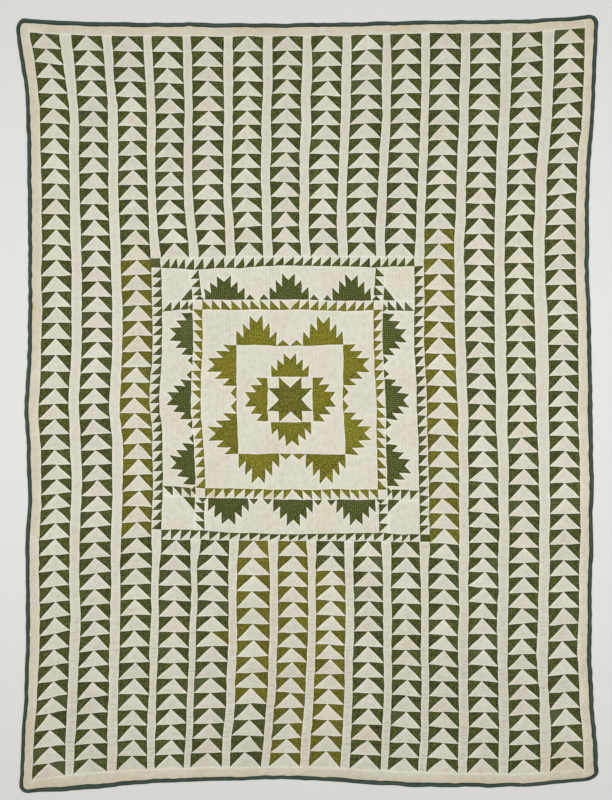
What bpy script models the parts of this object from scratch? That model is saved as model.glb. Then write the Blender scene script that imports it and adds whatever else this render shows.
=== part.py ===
"""Patchwork quilt: flying-geese bars and sashes around a square medallion, bound at the edge.

Each piece is first drawn flat in pattern space, in metres from the lower left corner of the
finished quilt, with its seams as edges. It is then given its thickness and its puffed patches,
and lay() sets it where the cloth really lies, with the wander of its seams and its drawn-in waist.
"""
import math

import bmesh
import bpy
import numpy as np
from mathutils import Matrix, Vector

MM = 0.001

# Piecing. A tooth is a half-square of the sawtooth edges, and a sash is as wide as a tooth.
TOOTH = 32.6 * MM
GOOSE_WIDTH = 3 * TOOTH
GOOSE_HEIGHT = 50 * MM
BARS = 14
ROWS = 49

# Geese of the runs that have one fewer than the rows beside them, each a little taller
FULL_BAR_GEESE = 48
BAR_06_LOWER_GEESE = 14

# The medallion takes the place of the middle of some bars, and of the sashes beside them.
MEDALLION_BARS = (3, 10)
MEDALLION_ROWS = (15, 34)
TEETH_OUTER = 27
TEETH_INNER = 18
RING_TEETH = 3.5
OUTER_PEAKS = 3
OUTER_PEAK_PITCH = 216 * MM
OUTER_PEAK_STEP = 21.2 * MM
HILL_BASE = 32 * MM
HILL_HEIGHT = 16 * MM
HILL_GAP = 2 * MM
CORNER_LEG = 45 * MM
PEAK_STEP = TOOTH / math.sqrt(2)
INNER_HILL_HEIGHT = 0.8 * PEAK_STEP
CENTRE_STEPS = 16
STAR_UNIT = 39 * MM

# Edges
BINDING = 10 * MM
BORDER_LEFT = 33 * MM
BORDER_RIGHT = 30 * MM
BORDER_TOP = 31 * MM
BORDER_BOTTOM = 34 * MM
CORNER_RADIUS = 30 * MM

# Heights above the surface on which the quilt lies
SEAM_HEIGHT = 2.4 * MM
PATCH_PUFF = 1.0 * MM
PUFF_SLOPE = 0.025
SMALLEST_PUFFED = 200 * MM * MM
STRIP_PUFF = 0.8 * MM

# Section of the binding: distances in from the edge, and the heights there
BINDING_LINES = (0, 1.5 * MM, 4.5 * MM, BINDING)
BINDING_HEIGHTS = (1.6 * MM, 3.4 * MM, 4.0 * MM, 2.6 * MM)

# Lines from the edge of a border that give its round corner three points
CORNER_LINES = (10 * MM, 20 * MM)

# Sewn pieces are modelled this far apart.
GAP = 0.3 * MM
MITRE_GAP = 0.2 * MM
SNAP = 0.01 * MM

BAR_PITCH = GOOSE_WIDTH + TOOTH
BARS_LEFT = BINDING + BORDER_LEFT
BARS_RIGHT = BARS_LEFT + BARS * BAR_PITCH - TOOTH
BARS_BOTTOM = BINDING + BORDER_BOTTOM
BARS_TOP = BARS_BOTTOM + ROWS * GOOSE_HEIGHT
WIDTH = BARS_RIGHT + BORDER_RIGHT + BINDING
LENGTH = BARS_TOP + BORDER_TOP + BINDING


def bar_left(bar):
    """Left edge of a bar, counted from 0 at the left of the quilt."""
    return BARS_LEFT + bar * BAR_PITCH


def row_line(row):
    """Height of a line between rows of geese, counted from 0 at the top of the bars."""
    return BARS_TOP - row * GOOSE_HEIGHT


MEDALLION_LEFT = bar_left(MEDALLION_BARS[0]) - TOOTH
MEDALLION_RIGHT = bar_left(MEDALLION_BARS[1])
MEDALLION_TOP = row_line(MEDALLION_ROWS[0])
MEDALLION_BOTTOM = row_line(MEDALLION_ROWS[1])
MEDALLION_MIDDLE = (MEDALLION_LEFT + MEDALLION_RIGHT) / 2
MEDALLION_CENTRE = Vector((MEDALLION_MIDDLE, (MEDALLION_TOP + MEDALLION_BOTTOM) / 2))
SAW_HEIGHT = (MEDALLION_TOP - MEDALLION_BOTTOM - TEETH_OUTER * TOOTH) / 2
OUTER_HALF = TEETH_OUTER * TOOTH / 2
INNER_HALF = OUTER_HALF - RING_TEETH * TOOTH
FIELD_HALF = INNER_HALF - TOOTH
CENTRE_HALF = CENTRE_STEPS * PEAK_STEP / 2
STAR_HALF = 2 * STAR_UNIT

# How far the laid cloth strays sideways from its pattern, in mm to the right. A row is a row line
# of the bars, and the columns are the left edge, the left, middle and right of the medallion,
# and the right edge.
SIDE_SEAMS = (0, BARS_LEFT, MEDALLION_LEFT, MEDALLION_MIDDLE, MEDALLION_RIGHT, BARS_RIGHT, WIDTH)
SIDE_DRIFT = {
    0: (-25, -12, -8, -9, 19),
    5: (0, -2, -10, -10, 12),
    10: (6, 0, -15, -18, -4),
    15: (8, 11, -11, -27, -12),
    20: (7, 17, -4, -28, -5),
    25: (-3, 7, 0, -18, -1),
    30: (7, 9, 4, -12, 3),
    34: (-1, 11, 8, -10, 1),
    39: (1, 11, 11, -10, -4),
    44: (-7, 6, 4, -12, -1),
    49: (-17, -2, -13, -16, 17),
}

# How far it strays lengthways, in mm towards the top. The rows are the long seams that run
# across, and the columns are the long seams that run down.
LONG_SEAMS = (0, bar_left(1), MEDALLION_LEFT, MEDALLION_MIDDLE, MEDALLION_RIGHT, bar_left(12), WIDTH)
LONG_DRIFT = {
    "top edge": (LENGTH, (6, -7, -10, -13, -4, -2, 16)),
    "head of the bars": (BARS_TOP, (3, -8, -11, -13, -3, 0, 15)),
    "head of the medallion": (MEDALLION_TOP, (-3, -3, -1, 0, 0, 1, 6)),
    "foot of the medallion": (MEDALLION_BOTTOM, (-14, 2, 9, 12, 9, -2, 2)),
    "foot of the bars": (BARS_BOTTOM, (-28, -9, 7, 15, -4, -8, 6)),
    "bottom edge": (0, (-19, -14, 5, 17, -7, -7, 14)),
}


def side_drift(x, y):
    """Sideways stray at a point of the pattern, in a straight line from seam to seam."""
    rows = sorted(SIDE_DRIFT, reverse=True)
    drifts = []
    for row in rows:
        left, medallion_left, middle, medallion_right, right = SIDE_DRIFT[row]
        across = (left, left, medallion_left, middle, medallion_right, right, right)
        drifts.append(np.interp(x, SIDE_SEAMS, across))
    return np.interp(y, [row_line(row) for row in rows], drifts) * MM


def long_drift(x, y):
    """Lengthways stray at a point of the pattern, in a straight line from seam to seam."""
    seams = sorted(LONG_DRIFT.values())
    drifts = [np.interp(x, LONG_SEAMS, across) for height, across in seams]
    return np.interp(y, [height for height, across in seams], drifts) * MM


def round_corner(x, y):
    """Turn each square ring of a corner into a ring with a round corner."""
    from_left = x < WIDTH / 2
    from_bottom = y < LENGTH / 2
    a = x if from_left else WIDTH - x
    b = y if from_bottom else LENGTH - y
    depth = min(a, b)
    radius = CORNER_RADIUS - depth
    along = abs(a - b)
    if radius <= 0 or along >= radius:
        return x, y
    angle = math.radians(45) * (1 - along / radius)
    near = depth + radius - radius * math.cos(angle)
    far = depth + radius - radius * math.sin(angle)
    a, b = (far, near) if a > b else (near, far)
    return (a if from_left else WIDTH - a), (b if from_bottom else LENGTH - b)


def lay(point):
    """Place of a point of the pattern in the laid quilt. Its height stays."""
    x, y = round_corner(point.x, point.y)
    return Vector((x + side_drift(x, y), y + long_drift(x, y), point.z))


class Turn:
    """A corner or a middle that motifs are drawn from, turned by quarters of a circle."""

    def __init__(self, centre, quarters=0):
        self.centre = Vector((centre[0], centre[1]))
        self.turn = Matrix.Rotation(math.radians(90) * quarters, 2)

    def out(self, x, y):
        """A point of the motif in pattern space."""
        return self.centre + self.turn @ Vector((x, y))

    def back(self, point):
        """A point of pattern space, seen from the motif."""
        return self.turn.transposed() @ (Vector((point.x, point.y)) - self.centre)


# The four edges of the quilt, each with its length: lower, right, upper and left
EDGES = (Turn((0, 0), 0), Turn((WIDTH, 0), 1), Turn((WIDTH, LENGTH), 2), Turn((0, LENGTH), 3))
EDGE_LENGTHS = (WIDTH, LENGTH, WIDTH, LENGTH)
EVERYWHERE = (-math.inf, -math.inf, math.inf, math.inf)


def rectangle(left, bottom, right, top, across=1, along=1):
    """A flat piece of cloth, half a gap short of its seams, in equal parts each way."""
    bm = bmesh.new()
    bmesh.ops.create_grid(bm, x_segments=across, y_segments=along, size=0.5)
    size = Vector((right - left - GAP, top - bottom - GAP, 1))
    bmesh.ops.scale(bm, vec=size, verts=bm.verts)
    bmesh.ops.translate(bm, vec=((left + right) / 2, (bottom + top) / 2, 0), verts=bm.verts)
    return bm


def cut(bm, frame, start, end, box):
    """Seam from start to end, through the faces whose middles are in a box of the motif."""
    x0, y0, x1, y1 = box
    faces = []
    for face in bm.faces:
        middle = frame.back(face.calc_center_median())
        if x0 < middle.x < x1 and y0 < middle.y < y1:
            faces.append(face)
    first = frame.out(*start)
    across = (frame.out(*end) - first).orthogonal()
    geometry = set(faces)
    for face in faces:
        geometry.update(face.edges)
        geometry.update(face.verts)
    bmesh.ops.bisect_plane(bm, geom=list(geometry), dist=SNAP, plane_co=first.to_3d(),
                           plane_no=across.to_3d())


def cut_row(bm, frame, left, bottom, count, width, height, rising=True):
    """A row of teeth: half-squares that all slant the same way."""
    right = left + count * width
    top = bottom + height
    for i in range(count):
        x0 = left + i * width
        x1 = x0 + width
        cut(bm, frame, (x1, bottom), (x1, top), (x0, bottom, right, top))
        ends = ((x0, bottom), (x1, top)) if rising else ((x0, top), (x1, bottom))
        cut(bm, frame, *ends, (x0, bottom, x1, top))


def cut_peak(bm, frame, middle, base, step, ground):
    """A mountain: a big triangle with three teeth up each of its two slopes.

    The ground around it, a box of the motif, is cut in columns as wide as its teeth.
    """
    top = ground[3]
    for i in range(-3, 4):
        x = middle + i * step
        cut(bm, frame, (x, base), (x, top), ground)
    for side in (-1, 1):
        for i in range(3):
            outer = middle + side * (3 - i) * step
            inner = outer - side * step
            column = (min(outer, inner), base, max(outer, inner), top)
            valley = base + (i + 1) * step
            cut(bm, frame, (outer, valley - step), (inner, valley), column)
            cut(bm, frame, (outer, valley + step), (inner, valley), column)
    inside = []
    for edge in bm.edges:
        ends = [frame.back(vert.co) for vert in edge.verts]
        away = abs(ends[0].x - middle)
        slope = base + 3 * step - away + SNAP
        upright = abs(ends[0].x - ends[1].x) < SNAP
        if upright and away < 2.5 * step and all(base - SNAP < end.y < slope for end in ends):
            inside.append(edge)
    bmesh.ops.dissolve_edges(bm, edges=inside)


def cut_hill(bm, frame, left, base, width, height, ground):
    """A small triangle on a line, with the ground above it cut in two columns."""
    middle = left + width / 2
    right = left + width
    top = ground[3]
    for x in (left, middle, right):
        cut(bm, frame, (x, base), (x, top), ground)
    cut(bm, frame, (left, base), (middle, base + height), (left, base, middle, top))
    cut(bm, frame, (middle, base + height), (right, base), (middle, base, right, top))


def cut_at_seams(bm, sides_only=False):
    """Cut a piece where the lay of the cloth changes course, so that its faces stay straight.

    A flat face may bend in its own plane, so sides_only cuts the upright sides alone.
    """
    courses = [((x, 0, 0), (1, 0, 0)) for x in sorted({*SIDE_SEAMS, *LONG_SEAMS})]
    courses += [((0, row_line(row), 0), (0, 1, 0)) for row in SIDE_DRIFT]
    for point, across in courses:
        geometry = {face for face in bm.faces if not sides_only or abs(face.normal.z) < 0.5}
        for face in list(geometry):
            geometry.update(face.edges)
            geometry.update(face.verts)
        bmesh.ops.bisect_plane(bm, geom=list(geometry), dist=SNAP, plane_co=point, plane_no=across)


def cloth_material(name, colour, roughness=0.9):
    """Cotton cloth of one colour."""
    material = bpy.data.materials.get(name)
    if material is None:
        material = bpy.data.materials.new(name)
        material.use_nodes = True
        shader = material.node_tree.nodes["Principled BSDF"]
        shader.inputs["Base Color"].default_value = (*colour, 1)
        shader.inputs["Roughness"].default_value = roughness
        shader.inputs["Metallic"].default_value = 0
        material.diffuse_color = (*colour, 1)
    return material


def white_cotton():
    return cloth_material("White cotton", (0.60, 0.57, 0.46))


def green_calico():
    return cloth_material("Green calico", (0.07, 0.10, 0.03))


def pieced_cotton():
    return cloth_material("White and green piecing", (0.34, 0.35, 0.22))


def teal_tape():
    return cloth_material("Teal binding", (0.028, 0.065, 0.062), roughness=0.8)


def thicken(bm):
    """Give a flat piece its thickness, with its seams at one height and one flat face below.

    Returns the faces of its upper side.
    """
    above = bm.faces[:]
    grown = bmesh.ops.extrude_face_region(bm, geom=above, use_keep_orig=True)["geom"]
    below = [item for item in grown if isinstance(item, bmesh.types.BMFace)]
    for vert in bm.verts:
        vert.co.z = SEAM_HEIGHT
    for vert in {vert for face in below for vert in face.verts}:
        vert.co.z = 0
    bmesh.ops.dissolve_faces(bm, faces=below, use_verts=False)
    bmesh.ops.recalc_face_normals(bm, faces=bm.faces)
    return above


def puff_patches(bm, faces):
    """Raise the middle of each patch above its seams, up to a limit as the patch grows."""
    for face in faces:
        area = face.calc_area()
        if area > SMALLEST_PUFFED:
            puff = min(PATCH_PUFF, PUFF_SLOPE * math.sqrt(area))
            bmesh.ops.poke(bm, faces=[face], offset=puff, center_mode="MEAN_WEIGHTED")


def puff_strip(faces):
    """Raise a strip above its seams along the lines inside it."""
    for vert in {vert for face in faces for vert in face.verts}:
        if all(face.normal.z > 0.5 for face in vert.link_faces):
            vert.co.z += STRIP_PUFF


def add_piece(bm, name, material):
    """Lay a finished piece, and give it its object and its material."""
    for vert in bm.verts:
        vert.co = lay(vert.co)
    mesh = bpy.data.meshes.new(name)
    bm.to_mesh(mesh)
    bm.free()
    mesh.materials.append(material)
    QUILT.objects.link(bpy.data.objects.new(name, mesh))


def make_bar(name, bar, first_row, last_row, geese):
    """A bar between two row lines: rows of a white triangle that points up, between two green ones."""
    left = bar_left(bar)
    middle = left + GOOSE_WIDTH / 2
    bm = rectangle(left, row_line(last_row), left + GOOSE_WIDTH, row_line(first_row),
                   across=2, along=geese)
    for face in bm.faces[:]:
        corners = sorted(face.verts, key=lambda vert: (vert.co.y, abs(vert.co.x - middle)))
        bmesh.utils.face_split(face, corners[1], corners[2])
    seams = [edge for edge in bm.edges if all(abs(vert.co.x - middle) < SNAP for vert in edge.verts)]
    bmesh.ops.dissolve_edges(bm, edges=seams)
    faces = thicken(bm)
    puff_patches(bm, [face for face in faces if len(face.verts) == 4])
    cut_at_seams(bm, sides_only=True)
    add_piece(bm, name, green_calico())


def make_sash(name, left, bottom, right, top):
    """A plain strip between two bars, puffed along its middle."""
    bm = rectangle(left, bottom, right, top, across=2)
    cut_at_seams(bm)
    puff_strip(thicken(bm))
    add_piece(bm, name, white_cotton())


def make_bars_and_sashes():
    """Fourteen bars and the sashes between them, in an upper and a lower part at the medallion.

    The last sash on the right runs down past the sawtooth edge, and the first on the left runs
    up past it.
    """
    first, last = MEDALLION_BARS
    above, below = MEDALLION_ROWS
    for bar in range(BARS):
        number = f"{bar + 1:02d}"
        if first <= bar < last:
            make_bar(f"bar_{number}_upper", bar, 0, above, above)
            make_bar(f"bar_{number}_lower", bar, below, ROWS,
                     BAR_06_LOWER_GEESE if number == "06" else ROWS - below)
        else:
            make_bar(f"bar_{number}", bar, 0, ROWS, FULL_BAR_GEESE)
    for bar in range(BARS - 1):
        number = f"{bar + 1:02d}"
        right = bar_left(bar + 1)
        left = right - TOOTH
        if first - 1 <= bar < last:
            foot = MEDALLION_TOP - (SAW_HEIGHT if bar == last - 1 else 0)
            head = MEDALLION_BOTTOM + (SAW_HEIGHT if bar == first - 1 else 0)
            make_sash(f"sash_{number}_upper", left, foot, right, BARS_TOP)
            make_sash(f"sash_{number}_lower", left, BARS_BOTTOM, right, head)
        else:
            make_sash(f"sash_{number}", left, BARS_BOTTOM, right, BARS_TOP)


def side_rectangle(frame, left, bottom, right, top):
    """A rectangle of a motif that is turned by quarters, as a piece in pattern space."""
    corners = [frame.out(left, bottom), frame.out(right, top)]
    xs = sorted(corner.x for corner in corners)
    ys = sorted(corner.y for corner in corners)
    return rectangle(xs[0], ys[0], xs[1], ys[1])


def make_sawtooth(name, quarters):
    """One outer edge of the medallion. The upper and the lower one end in a green square."""
    frame = Turn(MEDALLION_CENTRE, quarters)
    upright = quarters % 2 == 0
    height = SAW_HEIGHT if upright else TOOTH
    end = -OUTER_HALF - (TOOTH if upright else 0)
    bm = side_rectangle(frame, end, OUTER_HALF, OUTER_HALF, OUTER_HALF + height)
    cut(bm, frame, (-OUTER_HALF, OUTER_HALF), (-OUTER_HALF, OUTER_HALF + height), EVERYWHERE)
    cut_row(bm, frame, -OUTER_HALF, OUTER_HALF, TEETH_OUTER, TOOTH, height, rising=upright)
    cut_at_seams(bm)
    puff_patches(bm, thicken(bm))
    add_piece(bm, name, pieced_cotton())


def make_mountains(name, quarters):
    """One side of the outer ring: three mountains with small triangles beside them.

    The upper and the lower side hold the corners of the ring, each with one green triangle.
    A short row of teeth carries the inner sawtooth edge out across the ring at each end.
    """
    frame = Turn(MEDALLION_CENTRE, quarters)
    half = OUTER_HALF if quarters % 2 == 0 else INNER_HALF
    base = INNER_HALF
    bm = side_rectangle(frame, -half, base, half, OUTER_HALF)
    ground = (-half, base, half, OUTER_HALF)
    last_hill = OUTER_PEAK_PITCH + 3 * OUTER_PEAK_STEP + HILL_GAP
    for side in (-1, 1):
        for x in (INNER_HALF, INNER_HALF - TOOTH, last_hill):
            cut(bm, frame, (side * x, base), (side * x, OUTER_HALF), ground)
        cut(bm, frame, (side * (INNER_HALF + CORNER_LEG), base),
            (side * INNER_HALF, base + CORNER_LEG),
            (min(side * INNER_HALF, side * half), base, max(side * INNER_HALF, side * half), OUTER_HALF))
        ends = sorted((side * last_hill, side * INNER_HALF))
        teeth_foot = OUTER_HALF - 3 * TOOTH
        cut(bm, frame, (0, teeth_foot), (1, teeth_foot), (ends[0], base, ends[1], OUTER_HALF))
        column = sorted((side * INNER_HALF, side * (INNER_HALF - TOOTH)))
        for i in range(3):
            foot = teeth_foot + i * TOOTH
            cut(bm, frame, (0, foot + TOOTH), (1, foot + TOOTH), (column[0], foot, column[1], OUTER_HALF))
            slant = (foot, foot + TOOTH) if side < 0 else (foot + TOOTH, foot)
            cut(bm, frame, (column[0], slant[0]), (column[1], slant[1]),
                (column[0], foot, column[1], foot + TOOTH))
        hill = ends[0] if side > 0 else ends[1] - HILL_BASE
        cut_hill(bm, frame, hill, base, HILL_BASE, HILL_HEIGHT, (ends[0], base, ends[1], teeth_foot))
    for i in range(OUTER_PEAKS):
        middle = (i - (OUTER_PEAKS - 1) / 2) * OUTER_PEAK_PITCH
        cut_peak(bm, frame, middle, base, OUTER_PEAK_STEP, ground)
        if i + 1 < OUTER_PEAKS:
            start = middle + 3 * OUTER_PEAK_STEP + HILL_GAP
            stop = middle + OUTER_PEAK_PITCH - 3 * OUTER_PEAK_STEP - HILL_GAP
            cut_hill(bm, frame, start, base, HILL_BASE, HILL_HEIGHT, ground)
            cut_hill(bm, frame, stop - HILL_BASE, base, HILL_BASE, HILL_HEIGHT, ground)
    cut_at_seams(bm)
    puff_patches(bm, thicken(bm))
    add_piece(bm, name, pieced_cotton())


def cut_star(bm):
    """The middle block: a green square with two green points on each side, in four by four units."""
    frame = Turn(MEDALLION_CENTRE)
    block = (-STAR_HALF, -STAR_HALF, STAR_HALF, STAR_HALF)
    for i in (-1, 0, 1):
        line = i * STAR_UNIT
        cut(bm, frame, (line, 0), (line, 1), block)
        cut(bm, frame, (0, line), (1, line), block)
    for quarters in range(4):
        side = Turn(MEDALLION_CENTRE, quarters)
        for x in (-STAR_UNIT, STAR_UNIT):
            cut(bm, side, (x, STAR_HALF), (0, STAR_UNIT), (min(x, 0), STAR_UNIT, max(x, 0), STAR_HALF))


def make_middle():
    """The inner square: a sawtooth edge, a ring of eight mountains, and four more round a star."""
    frame = Turn(MEDALLION_CENTRE)
    bm = side_rectangle(frame, -INNER_HALF, -INNER_HALF, INNER_HALF, INNER_HALF)
    for half, box in ((FIELD_HALF, EVERYWHERE),
                      (CENTRE_HALF, (-FIELD_HALF, -FIELD_HALF, FIELD_HALF, FIELD_HALF)),
                      (STAR_HALF, (-CENTRE_HALF, -CENTRE_HALF, CENTRE_HALF, CENTRE_HALF))):
        for line in (-half, half):
            cut(bm, frame, (line, 0), (line, 1), box)
            cut(bm, frame, (0, line), (1, line), box)
    step = PEAK_STEP
    for quarters in range(4):
        side = Turn(MEDALLION_CENTRE, quarters)
        count = TEETH_INNER // 2
        cut(bm, side, (0, 0), (0, 1), (-FIELD_HALF, FIELD_HALF, FIELD_HALF, INNER_HALF))
        cut_row(bm, side, -FIELD_HALF, FIELD_HALF, count, TOOTH, TOOTH, rising=False)
        cut_row(bm, side, 0, FIELD_HALF, count, TOOTH, TOOTH, rising=True)
        ring = (-CENTRE_HALF, CENTRE_HALF, CENTRE_HALF, FIELD_HALF)
        for middle in (-5 * step, 5 * step):
            cut_peak(bm, side, middle, CENTRE_HALF, step, ring)
        for left in (-2 * step, 0):
            cut_hill(bm, side, left, CENTRE_HALF, 2 * step, INNER_HILL_HEIGHT, ring)
        cut_peak(bm, side, 0, STAR_HALF, step, (-STAR_HALF, STAR_HALF, STAR_HALF, CENTRE_HALF))
    cut_star(bm)
    cut_at_seams(bm)
    puff_patches(bm, thicken(bm))
    add_piece(bm, "medallion_middle", pieced_cotton())


def make_border(name, quarters, depth, start, end):
    """A plain border strip along one side, from the binding to the bars."""
    frame = EDGES[quarters]
    bm = side_rectangle(frame, start, BINDING, end, depth)
    length = EDGE_LENGTHS[quarters]
    for inset in CORNER_LINES:
        cut(bm, frame, (0, BINDING + inset), (1, BINDING + inset), EVERYWHERE)
        if start == BINDING:
            for x in (BINDING + inset, length - BINDING - inset):
                cut(bm, frame, (x, 0), (x, 1), EVERYWHERE)
    cut_at_seams(bm)
    puff_strip(thicken(bm))
    add_piece(bm, name, white_cotton())


def make_binding(name, quarters):
    """A rolled strip over one raw edge, with mitred ends that meet in the round corners."""
    frame = EDGES[quarters]
    length = EDGE_LENGTHS[quarters]
    bm = side_rectangle(frame, 0, 0, length, BINDING)
    for vert in bm.verts:
        place = frame.back(vert.co)
        mitre = place.y + MITRE_GAP
        x = mitre if place.x < length / 2 else length - mitre
        vert.co = frame.out(x, place.y).to_3d()
    for y in BINDING_LINES[1:-1]:
        cut(bm, frame, (0, y), (1, y), EVERYWHERE)
    for along in (*CORNER_LINES, CORNER_RADIUS):
        cut(bm, frame, (along, 0), (along + 1, 1), EVERYWHERE)
        cut(bm, frame, (length - along, 0), (length - along - 1, 1), EVERYWHERE)
    cut_at_seams(bm)
    for vert in {vert for face in thicken(bm) for vert in face.verts}:
        vert.co.z = np.interp(frame.back(vert.co).y, BINDING_LINES, BINDING_HEIGHTS)
    add_piece(bm, name, teal_tape())


def make_edges():
    """The four borders and the four strips of binding."""
    lower, right, upper, left = range(4)
    inner_left = BARS_LEFT
    inner_right = WIDTH - BARS_RIGHT
    make_border("border_left", left, BARS_LEFT, BINDING, LENGTH - BINDING)
    make_border("border_right", right, WIDTH - BARS_RIGHT, BINDING, LENGTH - BINDING)
    make_border("border_top", upper, LENGTH - BARS_TOP, inner_right, WIDTH - inner_left)
    make_border("border_bottom", lower, BARS_BOTTOM, inner_left, WIDTH - inner_right)
    for name, quarters in (("left", left), ("right", right), ("top", upper), ("bottom", lower)):
        make_binding(f"binding_{name}", quarters)


def centre_quilt():
    """Set the quilt's middle over the origin."""
    corners = [vert.co for piece in QUILT.objects for vert in piece.data.vertices]
    x = (min(co.x for co in corners) + max(co.x for co in corners)) / 2
    y = (min(co.y for co in corners) + max(co.y for co in corners)) / 2
    for piece in QUILT.objects:
        piece.data.transform(Matrix.Translation((-x, -y, 0)))


def main():
    make_bars_and_sashes()
    for quarters, side in enumerate(("top", "left", "bottom", "right")):
        make_sawtooth(f"sawtooth_{side}", quarters)
        make_mountains(f"mountains_{side}", quarters)
    make_middle()
    make_edges()
    centre_quilt()


for old in list(bpy.data.objects):
    bpy.data.objects.remove(old, do_unlink=True)
QUILT = bpy.data.collections.new("Patchwork quilt")
bpy.context.scene.collection.children.link(QUILT)
main()
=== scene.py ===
"""Patchwork quilt: bars of flying geese around a square medallion, sewn, quilted and bound.

Every patch is drawn flat in pattern space, in metres from the lower left corner of the finished
quilt. lay() then sets it where the cloth lies, with the stray of its long seams, and the relief of
the patchwork is worked out from the distance to the nearest seam.
"""

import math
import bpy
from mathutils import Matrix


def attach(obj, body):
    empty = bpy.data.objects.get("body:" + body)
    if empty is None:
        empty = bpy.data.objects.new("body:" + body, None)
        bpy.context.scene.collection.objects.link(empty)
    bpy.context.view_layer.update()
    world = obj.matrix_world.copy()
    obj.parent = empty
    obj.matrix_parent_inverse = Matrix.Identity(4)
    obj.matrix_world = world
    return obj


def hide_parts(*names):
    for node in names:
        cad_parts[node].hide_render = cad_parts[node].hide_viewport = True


bl_info = {
    "name": "Patchwork quilt",
    "version": (1, 0, 0),
    "blender": (4, 5, 0),
    "location": "3D View > Sidebar > Quilt",
    "description": "Bars of flying geese around a medallion, as sewn and quilted cotton",
    "category": "Add Mesh",
}

from functools import partial

import bpy
import numpy as np
from bpy.props import FloatProperty, FloatVectorProperty, PointerProperty
from mathutils import Vector

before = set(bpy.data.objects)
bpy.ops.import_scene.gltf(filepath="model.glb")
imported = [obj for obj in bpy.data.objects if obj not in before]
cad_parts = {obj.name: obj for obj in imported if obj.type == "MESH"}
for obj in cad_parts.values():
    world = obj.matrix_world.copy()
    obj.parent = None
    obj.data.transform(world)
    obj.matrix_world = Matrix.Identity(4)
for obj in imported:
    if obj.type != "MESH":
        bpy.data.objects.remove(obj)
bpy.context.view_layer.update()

MM = 0.001

# Piecing. A tooth is a half-square of the sawtooth edges, and a step a tooth of a mountain.
TOOTH = 32.6 * MM
GOOSE_WIDTH = 3 * TOOTH
GOOSE_HEIGHT = 50 * MM
BARS = 14
ROWS = 49
FULL_BAR_GEESE = 48
BAR_06_LOWER_GEESE = 14
MEDALLION_BARS = (3, 10)
MEDALLION_ROWS = (15, 34)
TEETH_OUTER = 27
TEETH_INNER = 18
RING_TEETH = 3.5
OUTER_PEAKS = 3
OUTER_PEAK_PITCH = 216 * MM
OUTER_PEAK_STEP = 22.2 * MM
HILL_BASE = 32 * MM
HILL_HEIGHT = 19 * MM
HILL_GAP = 2 * MM
CORNER_LEG = 45 * MM
PEAK_STEP = TOOTH / math.sqrt(2)
INNER_HILL_HEIGHT = 0.88 * PEAK_STEP
CENTRE_STEPS = 16
STAR_UNIT = 39 * MM
# Steps along and up the mountains on the star block: top, left, bottom and right
CENTRE_PEAKS = ((21.3, 20.3), (24.6, 19.8), (22.9, 20.8), (25.0, 20.4))

# Edges. The binding is as wide as said on the pattern, and its roll stands out a little beyond.
BINDING = 10 * MM
BORDER_LEFT = 33 * MM
BORDER_RIGHT = 30 * MM
BORDER_TOP = 31 * MM
BORDER_BOTTOM = 34 * MM
CORNER_RADIUS = 30 * MM

BAR_PITCH = GOOSE_WIDTH + TOOTH
BARS_LEFT = BINDING + BORDER_LEFT
BARS_RIGHT = BARS_LEFT + BARS * BAR_PITCH - TOOTH
BARS_BOTTOM = BINDING + BORDER_BOTTOM
BARS_TOP = BARS_BOTTOM + ROWS * GOOSE_HEIGHT
WIDTH = BARS_RIGHT + BORDER_RIGHT + BINDING
LENGTH = BARS_TOP + BORDER_TOP + BINDING

# Place of the row frame's origin in the laid pattern
ORIGIN = (0.93500, 1.26541)

# Cells of the cloth's grids: so many to a tooth, a row of geese, a step of a mountain, a hill's base
# and a unit of the star that every seam runs along their sides or from corner to corner
TOOTH_CELLS = 8
CELL = TOOTH / TOOTH_CELLS
ROW_CELLS = 12
STEP_CELLS = 6
HILL_CELLS = 8
STAR_CELLS = 10

# Patches are numbered, so that each can have a shade of its own out of so many. The grids of a piece
# start a stride apart.
SHADES = 4096
PATCH_STRIDE = 997
SQUARE_PATCH = 999
GROUND_PATCH = 900

# Seeds of the random draws: of the shades in each kind of piece, and of its uneven piecing
BAR_SEED, SASH_SEED, SAW_SEED, RING_SEED, MIDDLE_SEED, BORDER_SEED = 100, 200, 300, 400, 450, 600
GEESE_SEED, OUTER_TEETH_SEED, INNER_TEETH_SEED = 500, 700, 710

# Reach of the painted highlight and shade beside a seam, and of the yellowing beside the binding, and
# the heights on the roll of the binding where its wear and its painted highlight begin and are full
SEAM_SHADING_REACH = 3.2 * MM
YELLOWED_REACH = 9 * MM
WORN_AND_LIT_HEIGHTS = (3.2 * MM, 4 * MM)

# Margin at the two ends of a column of the map that the colours are baked to
END_MARGIN = 0.012

# The photo: its size and the middle of the laid quilt in pixels, and the size of a pixel on the floor
PHOTO_SIZE = (612, 800)
PHOTO_MIDDLE = (308.3, 402.7)
PIXEL = 3.32 * MM

# Cloths of the pieces
GOOSE, SASH, BORDER, GREEN, OLIVE, RING, MIDDLE, STAR, BACK, TAPE = range(10)


def bar_left(bar):
    """Left edge of a bar, counted from 0 at the left of the quilt."""
    return BARS_LEFT + bar * BAR_PITCH


def row_line(row):
    """Height of a line between rows of geese, counted from 0 at the top of the bars."""
    return BARS_TOP - row * GOOSE_HEIGHT


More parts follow.
